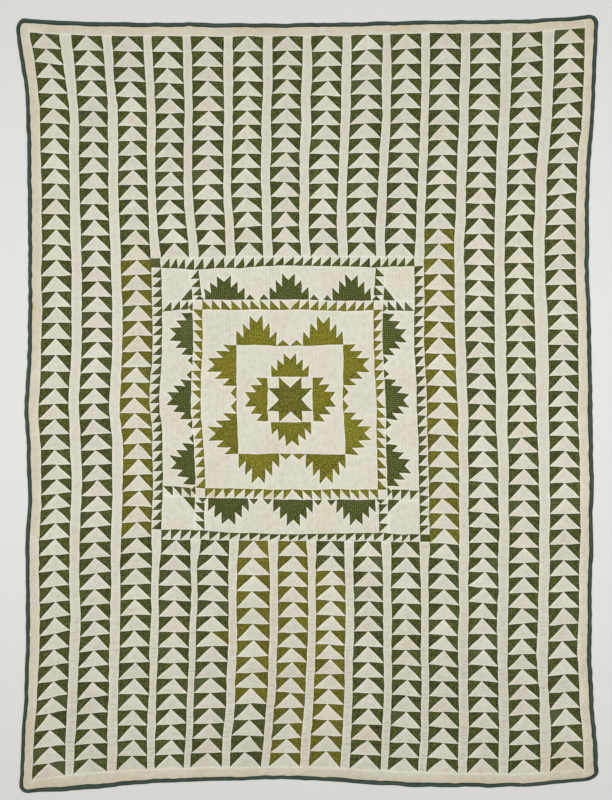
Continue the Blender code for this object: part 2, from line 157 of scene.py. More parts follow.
MEDALLION_LEFT = bar_left(MEDALLION_BARS[0]) - TOOTH
MEDALLION_RIGHT = bar_left(MEDALLION_BARS[1])
MEDALLION_TOP = row_line(MEDALLION_ROWS[0])
MEDALLION_BOTTOM = row_line(MEDALLION_ROWS[1])
MEDALLION_MIDDLE = (MEDALLION_LEFT + MEDALLION_RIGHT) / 2
MEDALLION_CENTRE = (MEDALLION_MIDDLE, (MEDALLION_TOP + MEDALLION_BOTTOM) / 2)
SAW_HEIGHT = (MEDALLION_TOP - MEDALLION_BOTTOM - TEETH_OUTER * TOOTH) / 2
OUTER_HALF = TEETH_OUTER * TOOTH / 2
INNER_HALF = OUTER_HALF - RING_TEETH * TOOTH
FIELD_HALF = INNER_HALF - TOOTH
CENTRE_HALF = CENTRE_STEPS * PEAK_STEP / 2
STAR_HALF = 2 * STAR_UNIT

# The strays of the laid cloth from its pattern are in mm, and were judged from the photo.
# The first are sideways, to the right. A row is a row line of the bars, and the columns are the left
# edge, the left, middle and right of the medallion, and the right edge.
SIDE_SEAMS = (0, BARS_LEFT, MEDALLION_LEFT, MEDALLION_MIDDLE, MEDALLION_RIGHT, BARS_RIGHT, WIDTH)
SIDE_DRIFT = {
    0: (-25, -12, -8, -9, 19),
    5: (0, -2, -10, -10, 12),
    10: (6, 0, -15, -18, -4),
    15: (8, 11, -11, -27, -12),
    20: (7, 17, -4, -28, -5),
    25: (-3, 7, 0, -18, -1),
    27: (1, 16, 2, -16, 1),
    30: (7, 18, 4, -12, 3),
    34: (-1, 13, 8, -10, 1),
    39: (1, 11, 11, -10, -4),
    44: (-7, 6, 4, -12, -1),
    49: (-17, -2, -13, -16, 17),
}

# How far each bar's own two edges stray from that, to the right. The columns are the left edge of
# the quilt, the left and right edge of each bar, and the right edge of the quilt.
EDGE_SEAMS = (0, *(bar_left(bar) + edge for bar in range(BARS) for edge in (0, GOOSE_WIDTH)), WIDTH)
EDGE_DRIFT = {
    0: (-6, -8, -9, -5, -5, -7, -3, -9, -4, -10, 0, -4, 0, -1, 2,
        -2, 4, 0, 7, 0, 3, 0, 4, 0, -5, -2, -7, -1, -1, 0),
    2.5: (-3, -2, -5, -3, -1, -7, -1, -7, -4, -9, 0, -2, 1, -1, 0,
          -1, 1, 0, 5, 3, 6, 1, 2, -1, -4, -3, -4, -2, -1, -4),
    5: (1, 0, 1, -2, -1, -1, 0, -4, -3, -9, 0, -3, -1, -4, -2,
        -2, 0, -2, 6, 2, 4, -3, -1, -4, -5, -5, -5, -2, -2, -4),
    7.5: (0, -1, -2, -2, -1, 0, -1, -5, -6, -10, 0, -4, -2, -2, -1,
          -2, 0, -4, 4, -1, 4, -2, -1, -4, -8, -6, -8, -6, -5, -6),
    10.5: (0, 0, -3, -4, -3, -3, 0, -6, -7, -9, 0, -6, 0, -2, -2,
           -3, -3, -6, 1, -2, 3, -2, 0, -2, -5, -3, -9, -6, -6, -6),
    13: (0, 0, -3, -2, -3, -2, -1, -6, -3, -5, 0, -2, 0, -1, -3,
         -4, -6, -5, -2, -3, 3, -2, 1, -1, -3, -3, -8, -5, -1, -2),
    15: (0, -1, 0, 0, -1, -2, 0, 0, 0, 0, 0, 0, 0, 0, 0,
         0, 0, 0, 0, 0, 0, 0, 0, 0, -2, -2, -8, -5, -1, 0),
    20: (0, 0, 0, 0, 0, 0, 0, 0, 0, 0, 0, 0, 0, 0, 0,
         0, 0, 0, 0, 0, 0, 0, 3, 2, -4, -2, -9, 0, 0, 0),
    26: (0, 0, 0, 0, 0, 0, 0, 0, 0, 0, 0, 0, 0, 0, 0,
         0, 0, 0, 0, 0, 0, 0, 3, 2, -6, -3, -8, -3, -4, 0),
    30.5: (0, 0, 0, 0, 0, 0, 0, 0, 0, 0, 0, 0, 0, 0, 0,
           0, 0, 0, 0, 0, 0, 0, 1, -2, -3, -4, -4, -3, -1, 0),
    34: (0, -1, 0, -1, 0, -1, 0, 0, 0, 0, 0, 0, 0, 0, 0,
         0, 0, 0, 0, 0, 0, 0, 0, -2, -3, -3, -3, -2, 0, 0),
    36: (0, -2, -1, -3, 1, -3, 2, -6, 2, -9, -4, -8, 4, -1, 2,
         -4, 1, -2, 4, 0, 3, -3, 0, -3, -3, -3, -2, -2, 0, 0),
    38.5: (0, -1, 1, 1, -1, -3, 0, -8, 1, -11, -3, -9, 3, -2, 1,
           -5, 1, -1, 4, 1, 5, -3, 0, -2, -5, -3, -2, -1, 1, 0),
    41: (0, -1, 1, -1, -2, -3, -1, -7, -2, -13, -3, -8, 3, -3, 0,
         -5, 0, -2, 5, 2, 5, -2, -3, -3, -5, -5, -8, -4, -3, 0),
    43.5: (0, -2, 0, -2, -1, -4, -1, -10, -3, -15, -4, -8, 2, -4, -1,
           -5, 2, -3, 10, 4, 7, 0, 0, -2, -2, -3, -1, -4, -1, 2),
    46: (-3, -7, -1, -3, -1, -2, -3, -9, -4, -14, -6, -10, 1, -6, -3,
         -6, 4, 0, 8, 2, 8, 0, 1, -1, -2, -3, -3, -1, 2, 5),
    49: (-4, -8, 0, -6, 2, 0, -1, -7, -6, -16, -9, -12, -4, -8, -3,
         -4, 2, 0, 7, -2, 1, -4, 0, -7, -8, -13, -12, -16, -3, 2),
}

# How far it strays lengthways, towards the top. The rows are the long seams that run across, and
# the columns are the long seams that run down.
LONG_SEAMS = (0, bar_left(1), MEDALLION_LEFT, MEDALLION_MIDDLE, MEDALLION_RIGHT, bar_left(12), WIDTH)
LONG_DRIFT = {
    "top edge": (LENGTH, (6, -7, -10, -13, -4, -2, 16)),
    "head of the bars": (BARS_TOP, (3, -8, -12, -13, -3, 0, 19)),
    "head of the medallion": (MEDALLION_TOP, (-3, -3, 1, 6, 5, 1, 6)),
    "foot of the medallion": (MEDALLION_BOTTOM, (-14, 2, 17, 13, 9, -2, 2)),
    "foot of the bars": (BARS_BOTTOM, (-39, -13, 4, 14, -6, -11, 8)),
    "bottom edge": (0, (-28, -18, 4, 17, -7, -7, 16)),
}

# How far the parts of the medallion stray within its edges, sideways and lengthways. The rows go
# from its top to its foot, and the columns from its left to its right, in mm from its centre.
MEDALLION_UP = (475, 440, 310, 200, 0, -200, -310, -440, -475)
MEDALLION_ACROSS = (-473, -440, -310, -200, 0, 200, 310, 440, 473)
MEDALLION_SIDE = (
    (0, 0, -16, -7, 5, 8, 13, 0, 0),
    (0, 0, -16, -7, 5, 8, 13, 0, 0),
    (0, 0, -10, -5, 5, 8, 8, 0, 0),
    (0, 0, -9, 0, 3, 7, 5, 0, 0),
    (0, 0, -10, 3, 1, 0, 7, 0, 0),
    (0, 0, -7, 2, 5, 5, 5, 0, 0),
    (0, 0, -3, 0, 5, 6, 7, 0, 0),
    (0, 0, -4, 1, 5, 6, 8, 0, 0),
    (0, 0, -4, 1, 5, 6, 8, 0, 0),
)
MEDALLION_LONG = (
    (0, 0, 0, 0, 0, 0, 0, 0, 0),
    (1, 1, -5, -3, 5, 2, 1, 4, 4),
    (2, 2, 6, 5, 5, 1, 4, 1, 1),
    (0, 0, -2, -5, -8, -3, -2, -4, -4),
    (0, 0, -6, -4, -4, -1, 0, -6, -6),
    (0, 0, -4, -4, 0, -3, -1, -9, -9),
    (-2, -2, -10, -9, -13, -10, -9, -12, -12),
    (-1, -1, -3, -10, -12, -8, -7, -10, -10),
    (0, 0, 0, 0, 0, 0, 0, 0, 0),
)

# How far the lines between geese stray, towards the top, at some lines counted from the head of the
# run. The lines between those follow, and a run's two ends stay.
FULL_LINES = (4, 8, 12, 16, 20, 24, 28, 32, 36, 40, 44, 47)
UPPER_LINES = (4, 8, 12, 14)
LOWER_LINES = (2, 6, 10, 13)
ROW_STRAY = {
    "bar_01": (6, 10, 13, 12, 8, -4, 0, 9, 6, 8, 6, -1),
    "bar_02": (3, 1, -5, -8, -8, -9, -11, -12, -15, -13, -10, -6),
    "bar_03": (1, 8, 11, 11, 8, 3, 1, -7, -7, -7, -9, -3),
    "bar_11": (-1, -1, 9, 10, 3, -8, -20, -21, -15, -10, -5, -3),
    "bar_12": (1, -4, -7, -7, -8, -10, -13, -11, -3, -2, -2, 1),
    "bar_13": (5, 5, 5, -1, -4, -13, -18, -23, -19, -15, -10, -5),
    "bar_14": (11, 17, 21, 26, 32, 34, 38, 36, 35, 22, 2, -7),
    "bar_04_upper": (-8, -8, -1, 0),
    "bar_05_upper": (0, -1, -4, -7),
    "bar_06_upper": (0, 3, 3, -1),
    "bar_07_upper": (7, 7, 2, 0),
    "bar_08_upper": (-2, 0, -4, -2),
    "bar_09_upper": (0, 0, 0, -2),
    "bar_10_upper": (-1, 0, -4, -3),
    "bar_04_lower": (0, -2, -4, -4),
    "bar_05_lower": (0, 0, -3, -3),
    "bar_06_lower": (-6, -10, -5, -4),
    "bar_07_lower": (-2, -4, -4, -7),
    "bar_08_lower": (2, 5, 11, 6),
    "bar_09_lower": (1, 3, 1, -4),
    "bar_10_lower": (-3, -5, -4, -7),
}

# Section of the binding, once round, in mm: distance in from the edge and height
BINDING_SECTION = np.array([
    (11.5, 0), (11.5, 2.5), (10.4, 2.9), (9.0, 3.3), (7.0, 3.65), (4.7, 3.95), (2.4, 4.0), (0.4, 3.7),
    (-1.1, 3.1), (-2.1, 2.3), (-2.6, 1.5), (-2.4, 0.7), (-1.6, 0),
]) * MM


def linear(hex_colour):
    """An sRGB colour such as #d6cfbe as linear red, green and blue."""
    values = [int(hex_colour[i:i + 2], 16) / 255 for i in (1, 3, 5)]
    return tuple(v / 12.92 if v <= 0.04045 else ((v + 0.055) / 1.055) ** 2.4 for v in values)


def length_property(name, description, millimetres):
    """A length that a user may change, with its default in mm."""
    return FloatProperty(name=name, description=description, default=millimetres * MM, min=0,
                         precision=5, subtype="DISTANCE", unit="LENGTH")


def colour_property(name, description, hex_colour):
    """A colour that a user may change, with its default as sRGB hex."""
    return FloatVectorProperty(name=name, description=description, default=linear(hex_colour),
                               min=0, max=1, size=3, subtype="COLOR")


class QuiltSizes(bpy.types.PropertyGroup):
    """Sizes of the relief, the quilting, the weave and the print."""

    seam_height: length_property("Seam height", "Height of the seams above the floor", 2.3)
    patch_puff: length_property("Patch puff", "How far the middle of a patch stands above its seams", 0.95)
    puff_reach: length_property("Puff reach", "How far from a seam most of the puff is reached", 5.5)
    crumple: length_property("Crumple", "Height of the crumples that washing leaves", 0.35)
    wander: length_property("Seam wander", "How far a hand-sewn seam strays from straight", 1.0)
    tip_jitter: length_property("Tip jitter", "How far the tips of the geese stray sideways", 2.2)
    row_tilt: length_property("Row tilt", "How far the rows of geese tilt", 1.2)
    quilting_spacing: length_property("Quilting spacing", "Between two quilted lines, along a row", 11)
    quilting_depth: length_property("Quilting depth", "Depth of a quilted line", 1.0)
    stitch: length_property("Stitch", "Length of a quilting stitch with its space", 3.2)
    thread: length_property("Thread spacing", "Between two threads, drawn coarser than the real 0.4 mm", 1.1)
    print_spacing: length_property("Print spacing", "Between two dots of the calico", 6.6)


class QuiltColours(bpy.types.PropertyGroup):
    """Colours of the cloths and of their age, and of the painted highlight and shade."""

    goose: colour_property("Geese", "White muslin of the geese and of the medallion", "#dad7c6")
    sash: colour_property("Sashes", "White muslin of the sashes", "#d5d2c1")
    border: colour_property("Borders", "Muslin of the borders, which has yellowed", "#d9d4c0")
    back: colour_property("Backing", "Unbleached muslin of the back", "#d8cfb8")
    stain: colour_property("Age stains", "Tan of the old stains", "#c9b284")
    # Painted shade in the quilted lines and in the wrinkles of the sashes
    crease: colour_property("Quilted lines", "Grime that has settled in the quilted lines", "#b2a995")
    dull: colour_property("Dull patches", "Pinkish grey where the muslin has dulled", "#b9ab9e")
    # Painted highlight beside the seams
    edge: colour_property("Doubled edges", "White over the turned-in edges, where it is double", "#e9e8d8")
    green: colour_property("Green calico", "Dark ground of the green calico", "#383d20")
    green_light: colour_property("Green bloom", "Lighter green that clouds the calico", "#565e29")
    green_odd: colour_property("Turned green", "Greyer, paler green of patches that have faded", "#56603f")
    green_dot: colour_property("Green print", "Tiny yellow-green figures of the print", "#a6a55c")
    olive: colour_property("Olive calico", "Ground of the olive calico", "#605d1a")
    olive_light: colour_property("Olive bloom", "Yellower clouds of the olive calico", "#79731d")
    ring: colour_property("Mountain green", "Green of the outer mountains and teeth", "#404a22")
    ring_light: colour_property("Outer mountains, light", "Where their dye has lifted", "#4b5323")
    middle: colour_property("Mountain olive", "Olive of the inner mountains and teeth", "#6f6b14")
    middle_light: colour_property("Olive yellow", "Yellowest clouds of the inner olive", "#857e1a")
    star: colour_property("Star green", "Green of the star", "#58561a")
    tape: colour_property("Binding", "Teal cotton of the binding", "#2c3a31")
    # Paler teal on top of the roll of the binding: wear and a painted highlight
    tape_worn: colour_property("Worn binding", "Teal where the binding's ridge is worn", "#4f6054")


def curve(at, knots, values):
    """A smooth curve through values at knots. Between two knots it is the cubic whose end slopes are
    the harmonic means of the slopes to both neighbours, or level where those turn, so it never
    overshoots. values may have a column a point."""
    knots = np.asarray(knots, float)
    values = np.asarray(values, float)
    spans = np.diff(knots)
    secants = np.diff(values, axis=0) / (spans if values.ndim == 1 else spans[:, None])
    before, after = secants[:-1], secants[1:]
    same = before * after > 0
    inner = np.where(same, 2 * before * after / np.where(same, before + after, 1), 0)
    slopes = np.concatenate([secants[:1], inner, secants[-1:]])
    i = np.clip(np.searchsorted(knots, at) - 1, 0, len(knots) - 2)
    span = spans[i]
    t = np.clip((at - knots[i]) / span, 0, 1)
    column = () if values.ndim == 1 else (np.arange(len(i)),)
    start, stop = values[(i, *column)], values[(i + 1, *column)]
    rise, fall = slopes[(i, *column)] * span, slopes[(i + 1, *column)] * span
    return (start * (1 + 2 * t) * (1 - t) ** 2 + rise * t * (1 - t) ** 2
            + stop * t * t * (3 - 2 * t) + fall * t * t * (t - 1))


def waves(x, y, length, seed, count=7):
    """Sum of plane waves, each with its own direction and a length around the given one, scaled to
    a spread of about 1."""
    rng = np.random.default_rng(seed)
    total = np.zeros(np.shape(x))
    for turn, part, phase in rng.uniform(0, 1, (count, 3)):
        angle = math.tau * turn
        size = length * (0.6 + part)
        total += np.sin(math.tau * ((x * math.cos(angle) + y * math.sin(angle)) / size + phase))
    return total / math.sqrt(count / 2)


def round_corner(x, y):
    """Turn each square ring of a corner into a ring with a round corner: a point's distance from the
    ring's corner along its side becomes an angle on an arc round the same centre."""
    a = np.where(x < WIDTH / 2, x, WIDTH - x)
    b = np.where(y < LENGTH / 2, y, LENGTH - y)
    radius = CORNER_RADIUS - np.minimum(a, b)
    along = np.abs(a - b)
    rounded = (radius > 0) & (along < radius)
    angle = math.radians(45) * (1 - along / np.where(rounded, radius, 1))
    near = CORNER_RADIUS - radius * np.cos(angle)
    far = CORNER_RADIUS - radius * np.sin(angle)
    first = np.where(rounded, np.where(a > b, far, near), a)
    second = np.where(rounded, np.where(a > b, near, far), b)
    return np.where(x < WIDTH / 2, first, WIDTH - first), np.where(y < LENGTH / 2, second, LENGTH - second)


def table_at(x, y, columns, rows, table):
    """Value at each point of a smooth surface through a table, whose rows are given from the lowest."""
    along = np.array([curve(x, columns, row) for row in table])
    return curve(y, rows, along) * MM


def lay(x, y, wander):
    """Place of points of the pattern in the row frame. The corners are made round, the stray of the
    long seams, of the bars' edges and of the medallion's parts is added, smooth between its measured
    places, and then the small waver of hand sewing."""
    x, y = round_corner(x, y)
    rows = sorted(SIDE_DRIFT, reverse=True)
    side = []
    for row in rows:
        left, medallion_left, middle, medallion_right, right = SIDE_DRIFT[row]
        side.append((left, left, medallion_left, middle, medallion_right, right, right))
    sideways = table_at(x, y, SIDE_SEAMS, [row_line(row) for row in rows], side)
    rows = sorted(EDGE_DRIFT, reverse=True)
    edges = [EDGE_DRIFT[row] for row in rows]
    sideways = sideways + table_at(x, y, EDGE_SEAMS, [row_line(row) for row in rows], edges)
    seams = sorted(LONG_DRIFT.values())
    heights = [height for height, drifts in seams]
    upwards = table_at(x, y, LONG_SEAMS, heights, [drifts for height, drifts in seams])
    across, up = (x - MEDALLION_CENTRE[0]) / MM, (y - MEDALLION_CENTRE[1]) / MM
    inside = (np.abs(across) < MEDALLION_ACROSS[-1]) & (np.abs(up) < MEDALLION_UP[0])
    place = (across, up, MEDALLION_ACROSS, MEDALLION_UP[::-1])
    sideways = sideways + inside * table_at(*place, MEDALLION_SIDE[::-1])
    upwards = upwards + inside * table_at(*place, MEDALLION_LONG[::-1])
    waver = [0.7 * waves(x, y, 0.16, seed) + 0.5 * waves(x, y, 0.06, seed + 1) for seed in (11, 13)]
    return x + (sideways + wander * waver[0]) - ORIGIN[0], y + (upwards + wander * waver[1]) - ORIGIN[1]


def turned(x, y, centre, quarters):
    """Points of a motif, turned by quarters of a circle about its centre in pattern space."""
    for _ in range(quarters % 4):
        x, y = -y, x
    return x + centre[0], y + centre[1]


def lines(start, *parts):
    """Places of grid lines from a start. Each part is a length with the number of equal cells that it
    is cut into, or a length alone, which is cut into cells of about the usual size."""
    steps = []
    for part in parts:
        length, count = part if isinstance(part, tuple) else (part, max(1, round(part / CELL)))
        steps.append(np.full(count, length / count))
    return start + np.concatenate([[0], np.cumsum(np.concatenate(steps))])


def seam_distance(x, y, seams):
    """Distance of points from the nearest seam. A point is dropped square onto each seam's line, and
    its foot is kept between the seam's two ends."""
    nearest = np.full(np.shape(x), np.inf)
    for x0, y0, x1, y1 in seams:
        dx, dy = x1 - x0, y1 - y0
        t = np.clip(((x - x0) * dx + (y - y0) * dy) / (dx * dx + dy * dy), 0, 1)
        nearest = np.minimum(nearest, np.hypot(x - x0 - t * dx, y - y0 - t * dy))
    return nearest


class Patchwork:
    """One piece of cloth: the grids that it is drawn on, and the seams that run over it."""

    def __init__(self, centre=(0, 0)):
        self.centre = centre
        self.grids = []
        self.seams = []

    def grid(self, plan, across, up, quarters=0, shift=None):
        """Add a grid with lines at those places across and up a motif. plan(x, y) says for points of
        the motif whether a cell's seam falls to the right, which cloth is there, and which patch.
        shift(x, y) moves points of the motif, where its piecing is uneven."""
        self.grids.append((plan, across, up, quarters, shift or (lambda x, y: (x, y))))

    def seam(self, *points, quarters=0):
        """Add a seam through points of the motif."""
        ends = [turned(*point, self.centre, quarters) for point in points]
        self.seams += [(*start, *stop) for start, stop in zip(ends, ends[1:])]

    def box(self, left, bottom, right, top, quarters=0):
        """Add the four seams round a rectangle."""
        self.seam((left, bottom), (right, bottom), (right, top), (left, top), (left, bottom),
                  quarters=quarters)

    def join(self):
        """All grids in one: points of the pattern and the same points as the shifts move them, corner
        numbers, cloths and patches of the triangles, and each grid's rim with its columns and rows."""
        flat, moved, faces, cloths, patches, rims = [], [], [], [], [], []
        total = 0
        for k, (plan, across, up, quarters, shift) in enumerate(self.grids):
            x, y = (places.ravel() for places in np.meshgrid(across, up))
            flat.append(turned(x, y, self.centre, quarters))
            moved.append(turned(*shift(x, y), self.centre, quarters))
            grid, cloth, patch = grid_faces(plan, across, up)
            faces.append(grid + total)
            cloths.append(cloth)
            patches.append(patch.astype(int) + PATCH_STRIDE * k)
            columns, rows = len(across) - 1, len(up) - 1
            rims.append((rim_numbers(columns, rows) + total, columns, rows))
            total += len(x)
        flat, moved = np.concatenate(flat, 1), np.concatenate(moved, 1)
        return flat, moved, np.concatenate(faces), np.concatenate(cloths), np.concatenate(patches), rims


def grid_faces(plan, across, up):
    """Corner numbers, cloths and patches of a grid's triangles. Each cell is cut from corner to
    corner the way that its seam runs."""
    columns, rows = len(across) - 1, len(up) - 1
    i, j = np.meshgrid(np.arange(columns), np.arange(rows))
    low = (j * (columns + 1) + i).ravel()
    high = low + columns + 1
    x, y = np.meshgrid((across[:-1] + across[1:]) / 2, (up[:-1] + up[1:]) / 2)
    falling = plan(x.ravel(), y.ravel())[0]
    first = np.stack([low, low + 1, np.where(falling, high, high + 1)], 1)
    second = np.stack([np.where(falling, low + 1, low), high + 1, high], 1)
    faces = np.concatenate([first, second])
    gx, gy = np.meshgrid(across, up)
    middles = gx.ravel()[faces].mean(1), gy.ravel()[faces].mean(1)
    cloth, patch = plan(*middles)[1:]
    return faces, cloth, patch


def rim_numbers(columns, rows):
    """Corner numbers round a grid, once round to the left, seen from above."""
    wide = columns + 1
    foot = np.arange(columns)
    right = np.arange(rows) * wide + columns
    head = rows * wide + np.arange(columns, 0, -1)
    left = np.arange(rows, 0, -1) * wide
    return np.concatenate([foot, right, head, left])


def underside(columns, rows):
    """Faces of the flat underside, as places on the rim: one strip across the narrow way to a row of
    cells, so that the first and the last also take in the corners along the ends."""
    size = 2 * (columns + rows)
    if columns > rows:
        return [[(place + columns) % size for place in face] for face in underside(rows, columns)]
    faces = []
    for row in range(rows):
        left, right = (size - row) % size, columns + row
        face = [left, (size - row - 1) % size, right + 1, right]
        if row == 0:
            face = face[1:3] + list(range(columns, 0, -1)) + [0]
        if row == rows - 1:
            head = range(columns + rows + 1, columns + rows + columns)
            face = face[:2] + list(head)[::-1] + face[2:]
        faces.append(face)
    return faces


def walls_and_underside(rims, start):
    """Faces that close the grids round their rims and below, where a second row of rim corners,
    numbered from the start, lies on the floor."""
    walls, below = [], []
    for rim, columns, rows in rims:
        foot = start + np.arange(len(rim))
        walls.append(np.stack([foot, np.roll(foot, -1), np.roll(rim, -1), rim], 1))
        below += [foot[face] for face in underside(columns, rows)]
        start += len(rim)
    return np.concatenate(walls), below


def fold_map(x, y, middle_x, middle_y, box, below):
    """Place on the square that a piece's colours are baked to. The piece is folded along its length
    into even columns that stand side by side, and its underside is drawn narrower beside them."""
    left, bottom, right, top = box
    upright = top - bottom >= right - left
    along, across, middle = x - left, y - bottom, middle_x - left
    length, width = right - left, top - bottom
    if upright:
        along, across, middle = y - bottom, x - left, middle_y - bottom
        length, width = width, length
    top_share, below_start, below_share = 0.8, 0.82, 0.17
    columns = max(1, round(math.sqrt(top_share * length / width)))
    column = np.clip(np.floor(middle / length * columns), 0, columns - 1)
    v = END_MARGIN + (1 - 2 * END_MARGIN) * (along * columns / length - column)
    u = (column + 0.03 + 0.94 * across / width) / columns
    return np.where(below, below_start, 0.0) + np.where(below, below_share, top_share) * u, v


def write_mesh(name, points, faces, sizes, flat, rim):
    """A mesh from whole arrays: points, the corner numbers of all faces in a row, each face's number
    of corners, which faces are flat and not smooth, and which points lie on a sharp rim."""
    mesh = bpy.data.meshes.new(name)
    mesh.vertices.add(len(points))
    mesh.vertices.foreach_set("co", points.astype(np.float32).ravel())
    mesh.loops.add(len(faces))
    mesh.loops.foreach_set("vertex_index", faces.astype(np.int32))
    mesh.polygons.add(len(sizes))
    starts = np.concatenate([[0], np.cumsum(sizes)[:-1]])
    mesh.polygons.foreach_set("loop_start", starts.astype(np.int32))
    mesh.update(calc_edges=True)
    mesh.attributes.new("sharp_face", "BOOLEAN", "FACE").data.foreach_set("value", flat)
    ends = np.zeros(2 * len(mesh.edges), np.int32)
    mesh.edges.foreach_get("vertices", ends)
    sharp = rim[ends.reshape(-1, 2)].all(1)
    mesh.attributes.new("sharp_edge", "BOOLEAN", "EDGE").data.foreach_set("value", sharp)
    return mesh


def write_attribute(mesh, name, domain, values):
    """A number for each point or face, which the materials read by name."""
    layer = mesh.attributes.new(name, "FLOAT", domain)
    layer.data.foreach_set("value", np.asarray(values, np.float32))


def write_map(mesh, name, u, v):
    """A UV map from a value for each face corner."""
    mesh.uv_layers.new(name=name, do_init=False)
    mesh.uv_layers[name].data.foreach_set("uv", np.stack([u, v], 1).astype(np.float32).ravel())


# Old stains: place and reach in mm in the row frame, and strength
STAINS = (
    (-589, 945, 20, 0.3), (-392, -292, 24, 0.8), (-360, -250, 12, 0.5), (-316, -305, 16, 0.9),
    (-227, -290, 12, 0.4), (-127, -303, 14, 0.6), (172, -303, 14, 0.5), (-262, -790, 12, 0.6),
    (-900, -1210, 60, 0.3), (890, -1190, 70, 0.3), (880, 1205, 60, 0.25),
    (-150, 1262, 40, 0.3), (330, 1240, 36, 0.3), (-912, 300, 40, 0.3),
)


def age_at(x, y, edge):
    """How far the cloth has browned, from 0 to 1: the old stains, and a yellowing along the binding.
    edge is how far a point lies from the edge of the quilt."""
    age = np.zeros(np.shape(x))
    for sx, sy, reach, strength in STAINS:
        far = np.hypot(x - sx * MM, y - sy * MM) / (reach * MM)
        age += strength * np.exp(-far * far)
    age += 0.6 * np.exp(-np.clip(edge - BINDING, 0, None) / YELLOWED_REACH)
    return np.clip(age + 0.06 * waves(x, y, 0.2, 21), 0, 1)


def add_cloth(name, mesh, cloths):
    """Object of a finished mesh, with its cloths, on the solid that it stands for."""
    for cloth in cloths:
        mesh.materials.append(cloth_material(cloth))
    piece = bpy.data.objects.new(f"{name}_cloth", mesh)
    bpy.context.scene.collection.objects.link(piece)
    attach(piece, "root")
    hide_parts(name)


def sew(name, work, slant, seed):
    """Turn patchwork into one closed piece of cloth over a solid.

    The height of a point above its seams grows with the distance d to the nearest one, as
    puff * (1 - exp(-d / reach)), and crumples stand on that. slant is the way that the quilted lines
    run: 1 rising, -1 falling, 0 upright. On the bars and sashes, where none is given, they rise in the
    lower left quarter of the quilt and fall elsewhere.
    """
    sizes = bpy.context.scene.quilt_sizes
    rng = np.random.default_rng(seed)
    tints = rng.normal(0, 0.5, (SHADES, 2))
    (top_x, top_y), (moved_x, moved_y), top_faces, top_cloth, top_patch, rims = work.join()
    distance = seam_distance(top_x, top_y, work.seams)
    rise = 1 - np.exp(-distance / sizes.puff_reach)
    crumple = 0.6 * waves(top_x, top_y, 0.026, 31, 11) + 0.5 * waves(top_x, top_y, 0.06, 32, 9)
    height = sizes.seam_height + sizes.patch_puff * rise + sizes.crumple * crumple * (0.15 + 0.85 * rise)
    all_rims = np.concatenate([rim for rim, columns, rows in rims])
    x, y, moved_x, moved_y = (np.append(row, row[all_rims]) for row in (top_x, top_y, moved_x, moved_y))
    z = np.append(height, np.zeros(len(all_rims)))
    laid_x, laid_y = lay(moved_x, moved_y, sizes.wander)

    walls, below = walls_and_underside(rims, len(top_x))
    corner_counts = np.array([3] * len(top_faces) + [4] * len(walls) + [len(face) for face in below])
    corners = np.concatenate([top_faces.ravel(), walls.ravel(), *below])
    face_of = np.repeat(np.arange(len(corner_counts)), corner_counts)
    is_top = np.arange(len(corner_counts)) < len(top_faces)
    is_below = np.arange(len(corner_counts)) >= len(top_faces) + len(walls)
    on_rim = np.zeros(len(z), bool)
    on_rim[all_rims] = True
    mesh = write_mesh(name, np.stack([laid_x, laid_y, z], 1), corners, corner_counts, ~is_top, on_rim)

    rest = len(corner_counts) - len(top_faces)
    used = sorted(set(top_cloth.tolist())) + [BACK]
    face_cloth = np.concatenate([top_cloth, np.full(rest, BACK)])
    mesh.polygons.foreach_set("material_index", np.searchsorted(used, face_cloth).astype(np.int32))
    top_patch = top_patch % SHADES
    for attribute, tint in zip(("tint", "hue"), tints[top_patch].T):
        write_attribute(mesh, attribute, "FACE", np.append(tint, np.zeros(rest)))
    # How near a point is to a seam: it paints a highlight there on the muslin, and shade on the calico
    near_seam = np.append(np.exp(-distance / SEAM_SHADING_REACH), np.zeros(len(all_rims)))
    write_attribute(mesh, "seam", "POINT", near_seam)
    edge = np.minimum(np.minimum(x, WIDTH - x), np.minimum(y, LENGTH - y))
    write_attribute(mesh, "age", "POINT", age_at(laid_x, laid_y, edge))

    grain = np.append(rng.uniform(-0.05, 0.05, SHADES)[top_patch], np.zeros(rest))
    offset = np.append(rng.uniform(0, 1, SHADES)[top_patch], np.zeros(rest))[face_of]
    cos, sin = np.cos(grain)[face_of], np.sin(grain)[face_of]
    cx, cy = x[corners], y[corners]
    write_map(mesh, "Cloth", cx * cos - cy * sin + offset, cx * sin + cy * cos + 0.37 * offset)
    middle_x, middle_y = (np.bincount(face_of, corner) / corner_counts for corner in (cx, cy))
    if slant is None:
        slant = np.where((middle_x < MEDALLION_MIDDLE) & (middle_y < MEDALLION_CENTRE[1]), 1, -1)
    write_attribute(mesh, "slant", "FACE", np.broadcast_to(slant, len(corner_counts)))
    middle_x, middle_y = middle_x[face_of], middle_y[face_of]
    box = (x.min(), y.min(), x.max(), y.max())
    u, v = fold_map(cx, cy, middle_x, middle_y, box, is_below[face_of])
    write_map(mesh, "OFBake", u, v)
    mesh.validate()
    add_cloth(name, mesh, used)


# A plan tells for points of a motif which way a cell's seam runs, which cloth is there, and the
# number of the patch.
def plain_plan(x, y, cloth):
    """One patch of plain cloth."""
    return np.full(x.shape, False), np.full(x.shape, cloth), np.zeros(x.shape)


def is_olive(bar, row, right):
    """Whether a patch beside the geese of a row of a bar is olive calico. right is whether it lies to
    the right of the goose."""
    beside = ((bar == 2) & (row >= 15) & (row < 33)) | ((bar == 10) & (row >= 13) & (row < 33))
    below = (bar == 5) & (row >= 34) & (row < 44) | (bar == 6) & (row >= 34) | (bar == 7) & (row >= 36)
    return beside | below | (bar == 4) & (row == 40) & right


